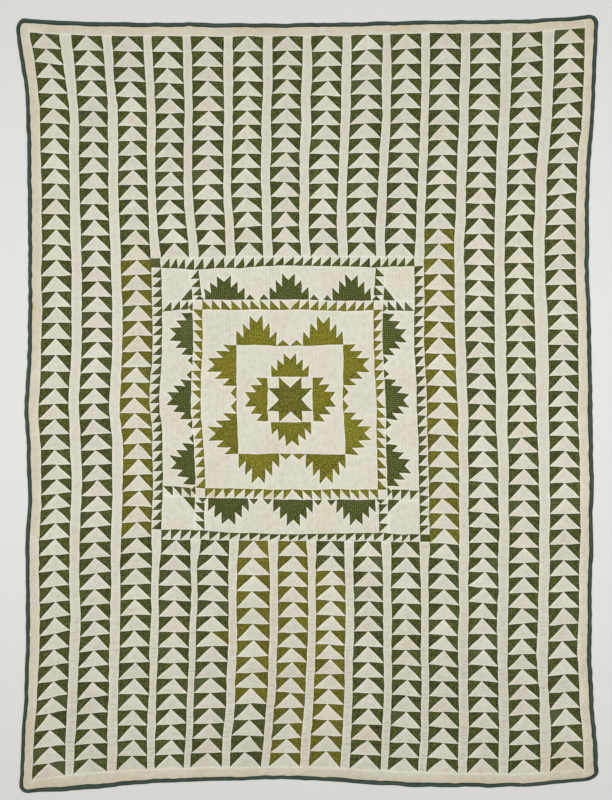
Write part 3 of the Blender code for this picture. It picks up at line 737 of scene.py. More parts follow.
def goose_plan(x, y, bar, first_row, head, height):
    """Geese of a bar: a white triangle from the foot of each row to the middle of its head."""
    across = (x - bar_left(bar)) / (GOOSE_WIDTH / 2) - 1
    down = (head - y) / height
    row = np.floor(down)
    up = 1 - (down - row)
    white = np.abs(across) < 1 - up
    calico = np.where(is_olive(bar, first_row + row, across > 0), OLIVE, GREEN)
    patch = row * 3 + np.where(white, 0, np.where(across > 0, 1, 2))
    return across > 0, np.where(white, GOOSE, calico), patch


def tooth_plan(x, y, left, bottom, height, falling, cloth):
    """A row of half-squares: the cloth lies below each slanting seam, and the ground above it."""
    along = (x - left) / TOOTH
    tooth = np.floor(along)
    along = along - tooth
    up = (y - bottom) / height
    tooth = tooth + 40 * np.floor(up)
    up = up - np.floor(up)
    slope = np.where(falling, 1 - along, along)
    below = up < slope
    return np.broadcast_to(falling, x.shape), np.where(below, cloth, GOOSE), tooth * 2 + below


def saw_plan(x, y, height, falling):
    """An outer edge of the medallion, with its green square at the left end."""
    slant, cloth, patch = tooth_plan(x, y, -OUTER_HALF, OUTER_HALF, height, falling, RING)
    square = x < -OUTER_HALF
    return slant, np.where(square, RING, cloth), np.where(square, SQUARE_PATCH, patch)


def uneven_teeth(x, y, left, bottom, count, height, seed):
    """Slide the lower and the upper ends of a row of teeth along its two edges, each by its own bit,
    and straight between them."""
    rng = np.random.default_rng(seed)
    number = np.arange(count + 1)
    ends = left + number * TOOTH
    foot, head = rng.normal(0, 1.3 * MM, (2, count + 1)) * ((0 < number) & (number < count))
    up = (y - bottom) / height
    return x + (1 - up) * np.interp(x, ends, foot) + up * np.interp(x, ends, head), y


def mountain_plan(x, y, middle, base, step, rise, cloth):
    """A mountain: a big triangle three steps high, and up each slope three half-square teeth, each
    with its tips one step above and below the point where it meets the slope."""
    across = np.abs(x - middle) / step
    up = (y - base) / rise
    column = np.floor(across)
    foot = 3 - column
    tooth = (np.abs(up - foot) < across - column) & (across < 3)
    green = (up < 3 - across) | tooth
    falling = (x > middle) == (up < foot)
    patch = np.where(up < 3 - across, 0, 1 + column + 4 * tooth + 8 * (x > middle))
    return falling, np.where(green, cloth, GOOSE), patch


def hill_plan(x, y, hills, base, height, cloth):
    """Small triangles on a line. A hill is given by its middle and half its width."""
    falling = green = np.full(x.shape, False)
    for middle, half in hills:
        across = (x - middle) / half
        inside = np.abs(across) < 1
        falling = falling | (inside & (across > 0))
        green = green | (np.abs(across) < 1 - (y - base) / height)
    return falling, np.where(green, cloth, GOOSE), green * (1 + np.floor(x / HILL_BASE))


def corner_plan(x, y, side):
    """A corner of the outer ring, with a green triangle on the legs of its inner corner."""
    across = np.abs(x) - INNER_HALF
    up = y - INNER_HALF
    green = across + up < CORNER_LEG
    return np.full(x.shape, side > 0), np.where(green, RING, GOOSE), green * 1


def ring_end_plan(x, y, side):
    """Teeth in a column that carries the inner sawtooth edge out across the ring, and the ground
    beside it."""
    column = np.abs(x) > FIELD_HALF
    left = INNER_HALF - TOOTH if side > 0 else -INNER_HALF
    foot = OUTER_HALF - 3 * TOOTH
    falling = np.full(x.shape, side > 0)
    slant, cloth, patch = tooth_plan(x, y, left, foot, TOOTH, falling, RING)
    return slant, np.where(column, cloth, GOOSE), np.where(column, patch, GROUND_PATCH)


def star_plan(x, y):
    """The middle block: a green square, two green points on each side, white triangles between the
    points, and white corners."""
    a, b = np.abs(x), np.abs(y)
    outer, inner = np.maximum(a, b), np.minimum(a, b)
    corner = inner > STAR_UNIT
    white = (outer > STAR_UNIT) & (inner < outer - STAR_UNIT)
    patch = np.floor(x / STAR_UNIT) + 4 * np.floor(y / STAR_UNIT) + 16 * white
    return x * y < 0, np.where(corner | white, GOOSE, STAR), np.where(outer < STAR_UNIT, 0, patch + 20)


class QUILT_OT_bars(bpy.types.Operator):
    """Piece the bars of flying geese"""

    bl_idname = "quilt.bars"
    bl_label = "Bars of geese"

    def execute(self, context):
        """Sew each bar, in two parts where the medallion takes its middle."""
        for bar in range(BARS):
            number = f"bar_{bar + 1:02d}"
            if MEDALLION_BARS[0] <= bar < MEDALLION_BARS[1]:
                above, below = MEDALLION_ROWS
                geese = BAR_06_LOWER_GEESE if number == "bar_06" else ROWS - below
                self.sew_bar(f"{number}_upper", bar, 0, above, above, UPPER_LINES)
                self.sew_bar(f"{number}_lower", bar, below, ROWS, geese, LOWER_LINES)
            else:
                self.sew_bar(number, bar, 0, ROWS, FULL_BAR_GEESE, FULL_LINES)
        return {"FINISHED"}

    def sew_bar(self, name, bar, first_row, last_row, geese, stray_lines):
        """One run of geese in a bar, between two row lines."""
        sizes = bpy.context.scene.quilt_sizes
        left = bar_left(bar)
        right = left + GOOSE_WIDTH
        middle = (left + right) / 2
        work = Patchwork()
        head, foot = row_line(first_row), row_line(last_row)
        height = (head - foot) / geese
        across = lines(left, (GOOSE_WIDTH, 2 * ROW_CELLS))
        up = lines(foot, (head - foot, geese * ROW_CELLS))
        work.box(left, foot, right, head)
        for row in range(geese):
            base = head - (row + 1) * height
            work.seam((left, base), (right, base))
            work.seam((left, base), (middle, head - row * height), (right, base))
        rng = np.random.default_rng(GEESE_SEED + bar)
        inside = np.arange(geese + 1)
        held = (inside > 0) & (inside < geese)
        tips = rng.normal(0, sizes.tip_jitter, geese + 1) * held
        tilts = rng.normal(0, sizes.row_tilt, geese + 1) * held
        strays = curve(inside, (0, *stray_lines, geese), (0, *ROW_STRAY[name], 0)) * MM

        def shift(x, y):
            """Slide the tip of each goose sideways and tilt each row, straight between row lines."""
            offset = (x - middle) / (GOOSE_WIDTH / 2)
            down = (head - y) / height
            tip, tilt, stray = (np.interp(down, inside, part) for part in (tips, tilts, strays))
            return x + tip * (1 - np.abs(offset)), y + stray + tilt * offset

        plan = partial(goose_plan, bar=bar, first_row=first_row, head=head, height=height)
        work.grid(plan, across, up, shift=shift)
        sew(name, work, None, BAR_SEED + bar)


class QUILT_OT_sashes(bpy.types.Operator):
    """Sew the plain sashes between the bars"""

    bl_idname = "quilt.sashes"
    bl_label = "Sashes"

    def execute(self, context):
        """Sew each sash, in two parts where the medallion takes its middle."""
        first, last = MEDALLION_BARS
        for bar in range(BARS - 1):
            number = f"sash_{bar + 1:02d}"
            if first - 1 <= bar < last:
                foot = MEDALLION_TOP - (SAW_HEIGHT if bar == last - 1 else 0)
                head = MEDALLION_BOTTOM + (SAW_HEIGHT if bar == first - 1 else 0)
                self.sew_sash(f"{number}_upper", bar, foot, BARS_TOP)
                self.sew_sash(f"{number}_lower", bar, BARS_BOTTOM, head)
            else:
                self.sew_sash(number, bar, BARS_BOTTOM, BARS_TOP)
        return {"FINISHED"}

    def sew_sash(self, name, bar, foot, head):
        """One strip of plain muslin."""
        right = bar_left(bar + 1)
        work = Patchwork()
        work.grid(partial(plain_plan, cloth=SASH), lines(right - TOOTH, TOOTH), lines(foot, head - foot))
        work.box(right - TOOTH, foot, right, head)
        sew(name, work, None, SASH_SEED + bar)


class QUILT_OT_sawtooth(bpy.types.Operator):
    """Piece the sawtooth edges round the medallion"""

    bl_idname = "quilt.sawtooth"
    bl_label = "Sawtooth edges"

    def execute(self, context):
        """Sew the four edges. The upper and the lower one start with a green square."""
        for quarters, side in enumerate(("top", "left", "bottom", "right")):
            upright = quarters % 2 == 0
            height = SAW_HEIGHT if upright else TOOTH
            start = -OUTER_HALF - (TOOTH if upright else 0)
            teeth = TEETH_OUTER + upright
            work = Patchwork(MEDALLION_CENTRE)
            plan = partial(saw_plan, height=height, falling=not upright)
            shift = partial(uneven_teeth, left=start, bottom=OUTER_HALF, count=teeth, height=height,
                            seed=OUTER_TEETH_SEED + quarters)
            across = lines(start, (teeth * TOOTH, teeth * TOOTH_CELLS))
            work.grid(plan, across, lines(OUTER_HALF, (height, TOOTH_CELLS)), quarters, shift)
            work.box(start, OUTER_HALF, OUTER_HALF, OUTER_HALF + height, quarters)
            for tooth in range(TEETH_OUTER):
                x = -OUTER_HALF + tooth * TOOTH
                ends = (OUTER_HALF, OUTER_HALF + height) if upright else (OUTER_HALF + height, OUTER_HALF)
                work.seam((x, OUTER_HALF), (x, OUTER_HALF + height), quarters=quarters)
                work.seam((x, ends[0]), (x + TOOTH, ends[1]), quarters=quarters)
            sew(f"sawtooth_{side}", work, 1, SAW_SEED + quarters)
        return {"FINISHED"}


def add_mountain(work, middle, base, steps, top, cloth, quarters):
    """Grid and seams of a mountain, from its base to the top of its ring. steps holds the width and
    the height of a tooth."""
    step, rise = steps
    peak = 4 * rise
    across = lines(middle - 3 * step, (6 * step, 6 * STEP_CELLS))
    up = lines(base, (peak, 4 * STEP_CELLS), top - base - peak)
    plan = partial(mountain_plan, middle=middle, base=base, step=step, rise=rise, cloth=cloth)
    work.grid(plan, across, up, quarters)
    for side in (-1, 1):
        for i in range(3):
            outer, inner = middle + side * (3 - i) * step, middle + side * (2 - i) * step
            foot = base + i * rise
            work.seam((outer, foot), (inner, foot + rise), (outer, foot + 2 * rise), (outer, foot),
                      quarters=quarters)


def add_hills(work, hills, base, height, quarters):
    """Seams of small triangles on a line."""
    for middle, half in hills:
        work.seam((middle - half, base), (middle, base + height), (middle + half, base), quarters=quarters)


class QUILT_OT_mountains(bpy.types.Operator):
    """Piece the outer ring of mountains"""

    bl_idname = "quilt.mountains"
    bl_label = "Outer ring"

    def execute(self, context):
        """Sew the four sides of the ring. The upper and the lower one hold its corners."""
        for quarters, side in enumerate(("top", "left", "bottom", "right")):
            work = Patchwork(MEDALLION_CENTRE)
            has_corners = quarters % 2 == 0
            half = OUTER_HALF if has_corners else INNER_HALF
            work.box(-half, INNER_HALF, half, OUTER_HALF, quarters)
            self.add_peaks(work, quarters)
            for end in (-1, 1):
                self.add_end(work, end, quarters)
                if has_corners:
                    self.add_corner(work, end, quarters)
            sew(f"mountains_{side}", work, 0, RING_SEED + quarters)
        return {"FINISHED"}

    def add_peaks(self, work, quarters):
        """Three mountains, and two hills between each pair."""
        reach = 3 * OUTER_PEAK_STEP
        for i in range(OUTER_PEAKS):
            middle = (i - (OUTER_PEAKS - 1) / 2) * OUTER_PEAK_PITCH
            steps = (OUTER_PEAK_STEP, OUTER_PEAK_STEP)
            add_mountain(work, middle, INNER_HALF, steps, OUTER_HALF, RING, quarters)
            if i + 1 < OUTER_PEAKS:
                start = middle + reach
                gap = OUTER_PEAK_PITCH - 2 * reach
                first = start + HILL_GAP + HILL_BASE / 2
                hills = ((first, HILL_BASE / 2), (2 * start + gap - first, HILL_BASE / 2))
                between = gap - 2 * HILL_GAP - 2 * HILL_BASE
                hill = (HILL_BASE, HILL_CELLS)
                across = lines(start, (HILL_GAP, 1), hill, (between, 5), hill, (HILL_GAP, 1))
                rest = OUTER_HALF - INNER_HALF - HILL_HEIGHT
                up = lines(INNER_HALF, (HILL_HEIGHT, HILL_CELLS // 2), (rest, 24))
                plan = partial(hill_plan, hills=hills, base=INNER_HALF, height=HILL_HEIGHT, cloth=RING)
                work.grid(plan, across, up, quarters)
                add_hills(work, hills, INNER_HALF, HILL_HEIGHT, quarters)

    def add_end(self, work, end, quarters):
        """The last hill, and above it the short column of teeth."""
        start = OUTER_PEAK_PITCH + 3 * OUTER_PEAK_STEP
        foot = OUTER_HALF - 3 * TOOTH
        middle = start + HILL_GAP + HILL_BASE / 2
        rest = INNER_HALF - start - HILL_GAP - HILL_BASE
        low = lines(start, (HILL_GAP, 1), (HILL_BASE, HILL_CELLS), (rest, 3))
        high = lines(start, FIELD_HALF - start, TOOTH)
        if end < 0:
            low, high = -low[::-1], -high[::-1]
        hills = ((end * middle, HILL_BASE / 2),)
        height = foot - INNER_HALF
        plan = partial(hill_plan, hills=hills, base=INNER_HALF, height=height, cloth=RING)
        work.grid(plan, low, lines(INNER_HALF, (height, HILL_CELLS // 2)), quarters)
        add_hills(work, hills, INNER_HALF, height, quarters)
        work.grid(partial(ring_end_plan, side=end), high, lines(foot, 3 * TOOTH), quarters)
        inner, outer = sorted((end * FIELD_HALF, end * INNER_HALF))
        work.seam((end * start, foot), (end * INNER_HALF, foot), quarters=quarters)
        work.seam((end * FIELD_HALF, foot), (end * FIELD_HALF, OUTER_HALF), quarters=quarters)
        work.seam((end * INNER_HALF, INNER_HALF), (end * INNER_HALF, OUTER_HALF), quarters=quarters)
        for i in range(3):
            y0, y1 = foot + i * TOOTH, foot + (i + 1) * TOOTH
            work.seam((inner, y1), (outer, y1), quarters=quarters)
            work.seam((inner, y0 if end < 0 else y1), (outer, y1 if end < 0 else y0), quarters=quarters)

    def add_corner(self, work, end, quarters):
        """The square at an end of the ring, with its green triangle."""
        leg = INNER_HALF + CORNER_LEG
        up = lines(INNER_HALF, CORNER_LEG, OUTER_HALF - leg)
        across = up if end > 0 else -up[::-1]
        work.grid(partial(corner_plan, side=end), across, up, quarters)
        work.seam((end * leg, INNER_HALF), (end * INNER_HALF, leg), quarters=quarters)


def inner_saw_plan(x, y):
    """An inner sawtooth edge: its teeth lean away from its middle, and its left corner is white."""
    falling = x < 0
    slant, cloth, patch = tooth_plan(x, y, -FIELD_HALF, FIELD_HALF, TOOTH, falling, MIDDLE)
    square = x < -FIELD_HALF
    return slant, np.where(square, GOOSE, cloth), np.where(square, SQUARE_PATCH, patch)


class QUILT_OT_middle(bpy.types.Operator):
    """Piece the middle of the medallion"""

    bl_idname = "quilt.middle"
    bl_label = "Middle of the medallion"

    def execute(self, context):
        """Sew the inner sawtooth edge, the ring of mountains, the centre square and its star."""
        work = Patchwork(MEDALLION_CENTRE)
        for quarters in range(4):
            self.add_saw(work, quarters)
            self.add_ring(work, quarters)
            self.add_centre(work, quarters)
        self.add_star(work)
        sew("medallion_middle", work, 0, MIDDLE_SEED)
        return {"FINISHED"}

    def add_saw(self, work, quarters):
        """One side of the inner sawtooth edge."""
        start = -FIELD_HALF - TOOTH
        count = TEETH_INNER + 1
        shift = partial(uneven_teeth, left=start, bottom=FIELD_HALF, count=count, height=TOOTH,
                        seed=INNER_TEETH_SEED + quarters)
        across = lines(start, (count * TOOTH, count * TOOTH_CELLS))
        work.grid(inner_saw_plan, across, lines(FIELD_HALF, TOOTH), quarters, shift)
        work.box(start, FIELD_HALF, FIELD_HALF, INNER_HALF, quarters)
        for tooth in range(TEETH_INNER):
            x = -FIELD_HALF + tooth * TOOTH
            ends = (INNER_HALF, FIELD_HALF) if tooth < TEETH_INNER // 2 else (FIELD_HALF, INNER_HALF)
            if tooth != TEETH_INNER // 2:
                work.seam((x, FIELD_HALF), (x, INNER_HALF), quarters=quarters)
            work.seam((x, ends[0]), (x + TOOTH, ends[1]), quarters=quarters)

    def add_ring(self, work, quarters):
        """One side of the ring: two mountains, two hills between them, and a plain corner."""
        step = PEAK_STEP
        for middle in (-5 * step, 5 * step):
            add_mountain(work, middle, CENTRE_HALF, (step, step), FIELD_HALF, MIDDLE, quarters)
        hills = ((-step, step), (step, step))
        rest = FIELD_HALF - CENTRE_HALF - INNER_HILL_HEIGHT
        up = lines(CENTRE_HALF, (INNER_HILL_HEIGHT, STEP_CELLS), rest)
        plan = partial(hill_plan, hills=hills, base=CENTRE_HALF, height=INNER_HILL_HEIGHT, cloth=MIDDLE)
        work.grid(plan, lines(-2 * step, (4 * step, 4 * STEP_CELLS)), up, quarters)
        add_hills(work, hills, CENTRE_HALF, INNER_HILL_HEIGHT, quarters)
        corner = lines(CENTRE_HALF, FIELD_HALF - CENTRE_HALF)
        work.grid(partial(plain_plan, cloth=GOOSE), corner, corner, quarters)
        work.seam((-CENTRE_HALF, CENTRE_HALF), (CENTRE_HALF, CENTRE_HALF), quarters=quarters)

    def add_centre(self, work, quarters):
        """One side of the centre square: a mountain that stands on the star block, and a corner."""
        step, rise = (size * MM for size in CENTRE_PEAKS[quarters])
        add_mountain(work, 0, STAR_HALF, (step, rise), CENTRE_HALF, MIDDLE, quarters)
        flank, rest = STAR_HALF - 3 * step, CENTRE_HALF - STAR_HALF
        up = lines(STAR_HALF, rest)
        plain = partial(plain_plan, cloth=GOOSE)
        work.grid(plain, lines(3 * step, flank, rest), up, quarters)
        work.grid(plain, lines(-STAR_HALF, flank), up, quarters)
        work.seam((-STAR_HALF, STAR_HALF), (STAR_HALF, STAR_HALF), quarters=quarters)

    def add_star(self, work):
        """The star block."""
        cut = lines(-STAR_HALF, (2 * STAR_HALF, 4 * STAR_CELLS))
        work.grid(star_plan, cut, cut)
        for quarters in range(4):
            work.seam((-STAR_UNIT, STAR_HALF), (0, STAR_UNIT), (STAR_UNIT, STAR_HALF), quarters=quarters)
            for x in (-STAR_UNIT, STAR_UNIT):
                work.seam((x, STAR_UNIT), (x, STAR_HALF), quarters=quarters)
            work.seam((-STAR_UNIT, STAR_UNIT), (STAR_UNIT, STAR_UNIT), quarters=quarters)


class QUILT_OT_borders(bpy.types.Operator):
    """Sew the four borders"""

    bl_idname = "quilt.borders"
    bl_label = "Borders"

    def execute(self, context):
        """Sew the long side borders, and between them the upper and the lower one."""
        side_foot, side_head = BINDING, LENGTH - BINDING
        boxes = {
            "left": (BINDING, side_foot, BARS_LEFT, side_head),
            "right": (BARS_RIGHT, side_foot, WIDTH - BINDING, side_head),
            "top": (BARS_LEFT, BARS_TOP, BARS_RIGHT, LENGTH - BINDING),
            "bottom": (BARS_LEFT, BINDING, BARS_RIGHT, BARS_BOTTOM),
        }
        for k, (side, (left, bottom, right, top)) in enumerate(boxes.items()):
            work = Patchwork()
            across, up = lines(left, right - left), lines(bottom, top - bottom)
            work.grid(partial(plain_plan, cloth=BORDER), across, up)
            work.box(left, bottom, right, top)
            sew(f"border_{side}", work, 1, BORDER_SEED + k)
        return {"FINISHED"}


class QUILT_OT_binding(bpy.types.Operator):
    """Roll the binding over the four raw edges"""

    bl_idname = "quilt.binding"
    bl_label = "Binding"

    def execute(self, context):
        """Sweep the section of the binding along each edge, from mitre to mitre."""
        self.roll("binding_bottom", (0, 0), 0, WIDTH)
        self.roll("binding_right", (WIDTH, 0), 1, LENGTH)
        self.roll("binding_top", (WIDTH, LENGTH), 2, WIDTH)
        self.roll("binding_left", (0, LENGTH), 3, LENGTH)
        return {"FINISHED"}

    def roll(self, name, start, quarters, length):
        """One strip: a point at a share t of the edge and at depth d of the section lies at
        d + t * (length - 2 d) along it, so that the ends are mitred."""
        sizes = bpy.context.scene.quilt_sizes
        depth, height = BINDING_SECTION.T
        count = round(length / CELL)
        round_it = len(depth)
        share = np.linspace(0, 1, count + 1)[:, None]
        along = depth + share * (length - 2 * depth)
        flat_x, flat_y = turned(along.ravel(), np.broadcast_to(depth, along.shape).ravel(), start, quarters)
        laid_x, laid_y = lay(flat_x, flat_y, sizes.wander)
        ridge = np.broadcast_to(height, along.shape).ravel()
        lumps = 1 + 0.09 * waves(flat_x, flat_y, 0.03, 41) * (ridge > 1 * MM)
        points = np.stack([laid_x, laid_y, ridge * lumps], 1)
        i, j = np.meshgrid(np.arange(round_it), np.arange(count))
        here, there = i + j * round_it, (i + 1) % round_it + j * round_it
        sides = np.stack([here, there, there + round_it, here + round_it], -1).reshape(-1, 4)
        first = np.arange(round_it)[::-1]
        last = count * round_it + np.arange(round_it)
        counts = np.array([4] * len(sides) + [round_it, round_it])
        corners = np.concatenate([sides.ravel(), first, last])
        under = (i.ravel() == round_it - 1) | (i.ravel() == 0)
        flat = np.concatenate([under, [True, True]])
        mesh = write_mesh(name, points, corners, counts, flat, np.zeros(len(points), bool))

        girth = np.concatenate([[0], np.cumsum(np.hypot(np.diff(depth), np.diff(height)))])
        whole = girth[-1] + math.hypot(depth[0] - depth[-1], height[0] - height[-1])
        step = np.append(girth, whole)
        near, far = step[i.ravel()], step[i.ravel() + 1]
        around = np.stack([near, far, far, near], 1).ravel()
        low, high = j.ravel() * length / count, (j.ravel() + 1) * length / count
        run = np.stack([low, low, high, high], 1).ravel()
        caps = np.concatenate([girth[first], girth[np.arange(round_it)]])
        ends = np.concatenate([np.zeros(round_it), np.full(round_it, length)])
        write_map(mesh, "Cloth", np.concatenate([run, ends]), np.concatenate([around, caps]))
        columns = round(math.sqrt(length / whole))
        column = np.clip(np.floor((low + high) / 2 / length * columns), 0, columns - 1)
        column = np.concatenate([np.repeat(column, 4), np.zeros(round_it), np.full(round_it, columns - 1)])
        u = (column + 0.05 + 0.9 * np.concatenate([around, caps]) / whole) / columns
        v = END_MARGIN + (1 - 2 * END_MARGIN) * (np.concatenate([run, ends]) * columns / length - column)
        write_map(mesh, "OFBake", u, v)
        # Height on the roll: its top is worn and gets a painted highlight
        write_attribute(mesh, "worn", "POINT", np.interp(ridge, WORN_AND_LIT_HEIGHTS, (0, 1)))
        mesh.validate()
        add_cloth(name, mesh, [TAPE])


def node(tree, kind, sockets=None, **settings):
    """Add a node with its settings. Each socket, by name or number, gets a value or a link."""
    made = tree.nodes.new(kind)
    for name, value in settings.items():
        setattr(made, name, value)
    for name, value in (sockets or {}).items():
        if isinstance(value, bpy.types.NodeSocket):
            tree.links.new(value, made.inputs[name])
        else:
            made.inputs[name].default_value = value
    return made


def new_cloth(name, roughness, sheen):
    """A material with a cotton's shine: rough and hardly glossy, with a faint nap."""
    material = bpy.data.materials.new(name)
    material.use_nodes = True
    tree = material.node_tree
    shader = tree.nodes["Principled BSDF"]
    shader.inputs["Roughness"].default_value = roughness
    shader.inputs["Specular IOR Level"].default_value = 0.15
    shader.inputs["Sheen Weight"].default_value = sheen
    shader.inputs["Sheen Roughness"].default_value = 0.6
    return material, tree


def quilted(tree, depth_share=1.0):
    """The quilted lines: how near a point is to one, and the height of the stitched, woven cloth.

    A line is where x less slant times y, bent a little by hand, is a whole number of spacings. It is
    pulled in deeper at some places than at others, and the upright lines are all slacker.
    """
    sizes = bpy.context.scene.quilt_sizes
    place = node(tree, "ShaderNodeTexCoord").outputs["Object"]
    slant = node(tree, "ShaderNodeAttribute", attribute_name="slant").outputs["Fac"]
    axes = node(tree, "ShaderNodeSeparateXYZ", {0: place})
    bend, waver = (node(tree, "ShaderNodeTexNoise", {"Vector": place, "Scale": scale, "Detail": 1.0})
                   for scale in (9.0, 42.0))
    tilt = node(tree, "ShaderNodeMath", {0: axes.outputs["Y"], 1: slant}, operation="MULTIPLY")
    bent = node(tree, "ShaderNodeMath", {0: axes.outputs["X"], 1: tilt.outputs[0]}, operation="SUBTRACT")
    for noise, reach in ((bend, 6 * MM), (waver, 9 * MM)):
        bent = node(tree, "ShaderNodeMath", {0: noise.outputs[0], 1: reach, 2: bent.outputs[0]},
                    operation="MULTIPLY_ADD")
    half = sizes.quilting_spacing / 2
    away = node(tree, "ShaderNodeMath", {0: bent.outputs[0], 1: half}, operation="PINGPONG")
    channel = node(tree, "ShaderNodeMapRange", {"Value": away.outputs[0], "From Min": 0.0,
                   "From Max": 0.55 * half, "To Min": 1.0, "To Max": 0.0}, interpolation_type="SMOOTHSTEP")
    stitch = node(tree, "ShaderNodeMath", {0: axes.outputs["Y"], 1: sizes.stitch / 2}, operation="PINGPONG")
    dash = node(tree, "ShaderNodeMapRange", {"Value": stitch.outputs[0], "From Min": 0.0,
                "From Max": sizes.stitch / 2, "To Min": 0.6, "To Max": 1.0})
    pull = node(tree, "ShaderNodeMapRange", {"Value": bend.outputs["Color"], "From Min": 0.35,
                "From Max": 0.6, "To Min": 0.25, "To Max": 1.0})
    slanting = node(tree, "ShaderNodeMath", {0: slant, 1: slant}, operation="MULTIPLY")
    firmness = node(tree, "ShaderNodeMath", {0: slanting.outputs[0], 1: 0.6, 2: 0.4},
                    operation="MULTIPLY_ADD")
    for share in (pull, firmness):
        channel = node(tree, "ShaderNodeMath", {0: channel.outputs[0], 1: share.outputs[0]},
                       operation="MULTIPLY")
    low = channel.outputs[0]
    for share in (dash.outputs[0], -sizes.quilting_depth * depth_share):
        low = node(tree, "ShaderNodeMath", {0: low, 1: share}, operation="MULTIPLY").outputs[0]
    crumple = node(tree, "ShaderNodeTexNoise", {"Vector": place, "Scale": 90.0, "Detail": 3.0})
    lifted = node(tree, "ShaderNodeMath", {0: crumple.outputs[0], 1: 1.8 * MM, 2: low},
                  operation="MULTIPLY_ADD")
    return channel.outputs[0], lifted.outputs[0]


def woven(tree, height):
    """Normal of cloth that has this height and a plain weave over it: warp and weft are rounded
    bands that cross, and the higher of the two shows."""
    sizes = bpy.context.scene.quilt_sizes
    cloth = node(tree, "ShaderNodeUVMap", uv_map="Cloth").outputs[0]
    scale = math.pi / (10 * sizes.thread)
    warp, weft = (node(tree, "ShaderNodeTexWave", {"Vector": cloth, "Scale": scale}, bands_direction=way)
                  for way in "XY")
    top = node(tree, "ShaderNodeMath", {0: warp.outputs["Fac"], 1: weft.outputs["Fac"]},
               operation="MAXIMUM")
    total = node(tree, "ShaderNodeMath", {0: top.outputs[0], 1: 0.05 * MM, 2: height},
                 operation="MULTIPLY_ADD").outputs[0]
    return node(tree, "ShaderNodeBump", {"Height": total, "Distance": 1.0, "Strength": 1.0}).outputs[0]


def blend(tree, amount, first, second):
    """Colour between two, by an amount from 0 to 1."""
    return node(tree, "ShaderNodeMix", {0: amount, 6: first, 7: second}, data_type="RGBA").outputs[2]


def lighten(tree, base, *parts):
    """A lightness: the base, and so much of each part, given with its share."""
    light = base
    for part, share in parts:
        light = node(tree, "ShaderNodeMath", {0: part, 1: share, 2: light},
                     operation="MULTIPLY_ADD").outputs[0]
    return light


def finish(material, light, shade, height):
    """Give a material its colour, as light as said, and the normal of cloth of this height."""
    tree = material.node_tree
    shader = tree.nodes["Principled BSDF"]
    final = node(tree, "ShaderNodeHueSaturation", {"Value": light, "Color": shade})
    tree.links.new(final.outputs[0], shader.inputs["Base Color"])
    tree.links.new(woven(tree, height), shader.inputs["Normal"])
    return material


def muslin(name, colour, firmness=1.0, wrinkled=0.0):
    """Plain-woven cotton muslin, washed until it is soft and matt: nearly flat cream white, with
    cloudy yellowing, a painted highlight beside the seams and painted shade in the quilted lines, which
    are as firm as said. Towards the foot it can be drawn into short wrinkles from side to side, with
    painted shade in them."""
    colours = bpy.context.scene.quilt_colours
    material, tree = new_cloth(name, 0.92, 0.05)
    channel, height = quilted(tree, firmness)
    place = node(tree, "ShaderNodeTexCoord").outputs["Object"]
    broad, fine, mottle = (
        node(tree, "ShaderNodeTexNoise", {"Vector": place, "Scale": scale, "Detail": detail}).outputs[0]
        for scale, detail in ((24.0, 4.0), (170.0, 2.0), (62.0, 3.0)))
    tint, seam, age = (node(tree, "ShaderNodeAttribute", attribute_name=kept).outputs["Fac"]
                       for kept in ("tint", "seam", "age"))
    dulled = node(tree, "ShaderNodeMapRange", {"Value": mottle, "From Min": 0.42, "From Max": 0.8,
                  "To Min": 0.0, "To Max": 0.45}).outputs[0]
    shade = blend(tree, dulled, (*colour, 1), (*colours.dull, 1))
    # Painted shade in the quilted lines
    shaded_lines = node(tree, "ShaderNodeMath", {0: channel, 1: 0.55 * firmness}, operation="MULTIPLY").outputs[0]
    shade = blend(tree, shaded_lines, shade, (*colours.crease, 1))
    if wrinkled:
        short = node(tree, "ShaderNodeMapping", {"Vector": place, "Scale": (20.0, 145.0, 1.0)}).outputs[0]
        short = node(tree, "ShaderNodeTexNoise", {"Vector": short, "Scale": 1.0, "Detail": 1.0}).outputs[0]
        short = node(tree, "ShaderNodeMapRange", {"Value": short, "From Min": 0.5,
                     "From Max": 0.68}).outputs[0]
        along = node(tree, "ShaderNodeSeparateXYZ", {0: place}).outputs["Y"]
        low = node(tree, "ShaderNodeMapRange", {"Value": along, "From Min": -0.3, "From Max": -0.9,
                   "To Max": wrinkled}).outputs[0]
        drawn = node(tree, "ShaderNodeMath", {0: short, 1: low}, operation="MULTIPLY").outputs[0]
        # Painted shade in the wrinkles, which are also pressed into the height
        shade = blend(tree, drawn, shade, (*colours.crease, 1))
        height = node(tree, "ShaderNodeMath", {0: drawn, 1: -1.2 * MM, 2: height},
                      operation="MULTIPLY_ADD").outputs[0]
    cloudy = node(tree, "ShaderNodeMapRange", {"Value": broad, "From Min": 0.35, "From Max": 0.75,
                  "To Min": 0.0, "To Max": 0.4}).outputs[0]
    shade = blend(tree, cloudy, shade, (*colours.border, 1))
    # Painted highlight beside the seams
    painted_seam_highlight = node(tree, "ShaderNodeMath", {0: seam, 1: 0.75}, operation="MULTIPLY").outputs[0]
    shade = blend(tree, painted_seam_highlight, shade, (*colours.edge, 1))
    browned = node(tree, "ShaderNodeMath", {0: age, 1: broad}, operation="MULTIPLY").outputs[0]
    browned = node(tree, "ShaderNodeMath", {0: browned, 1: 1.5}, operation="MULTIPLY",
                   use_clamp=True).outputs[0]
    shade = blend(tree, browned, shade, (*colours.stain, 1))
    light = lighten(tree, 0.945, (tint, 0.025), (fine, 0.16))
    return finish(material, light, shade, height)


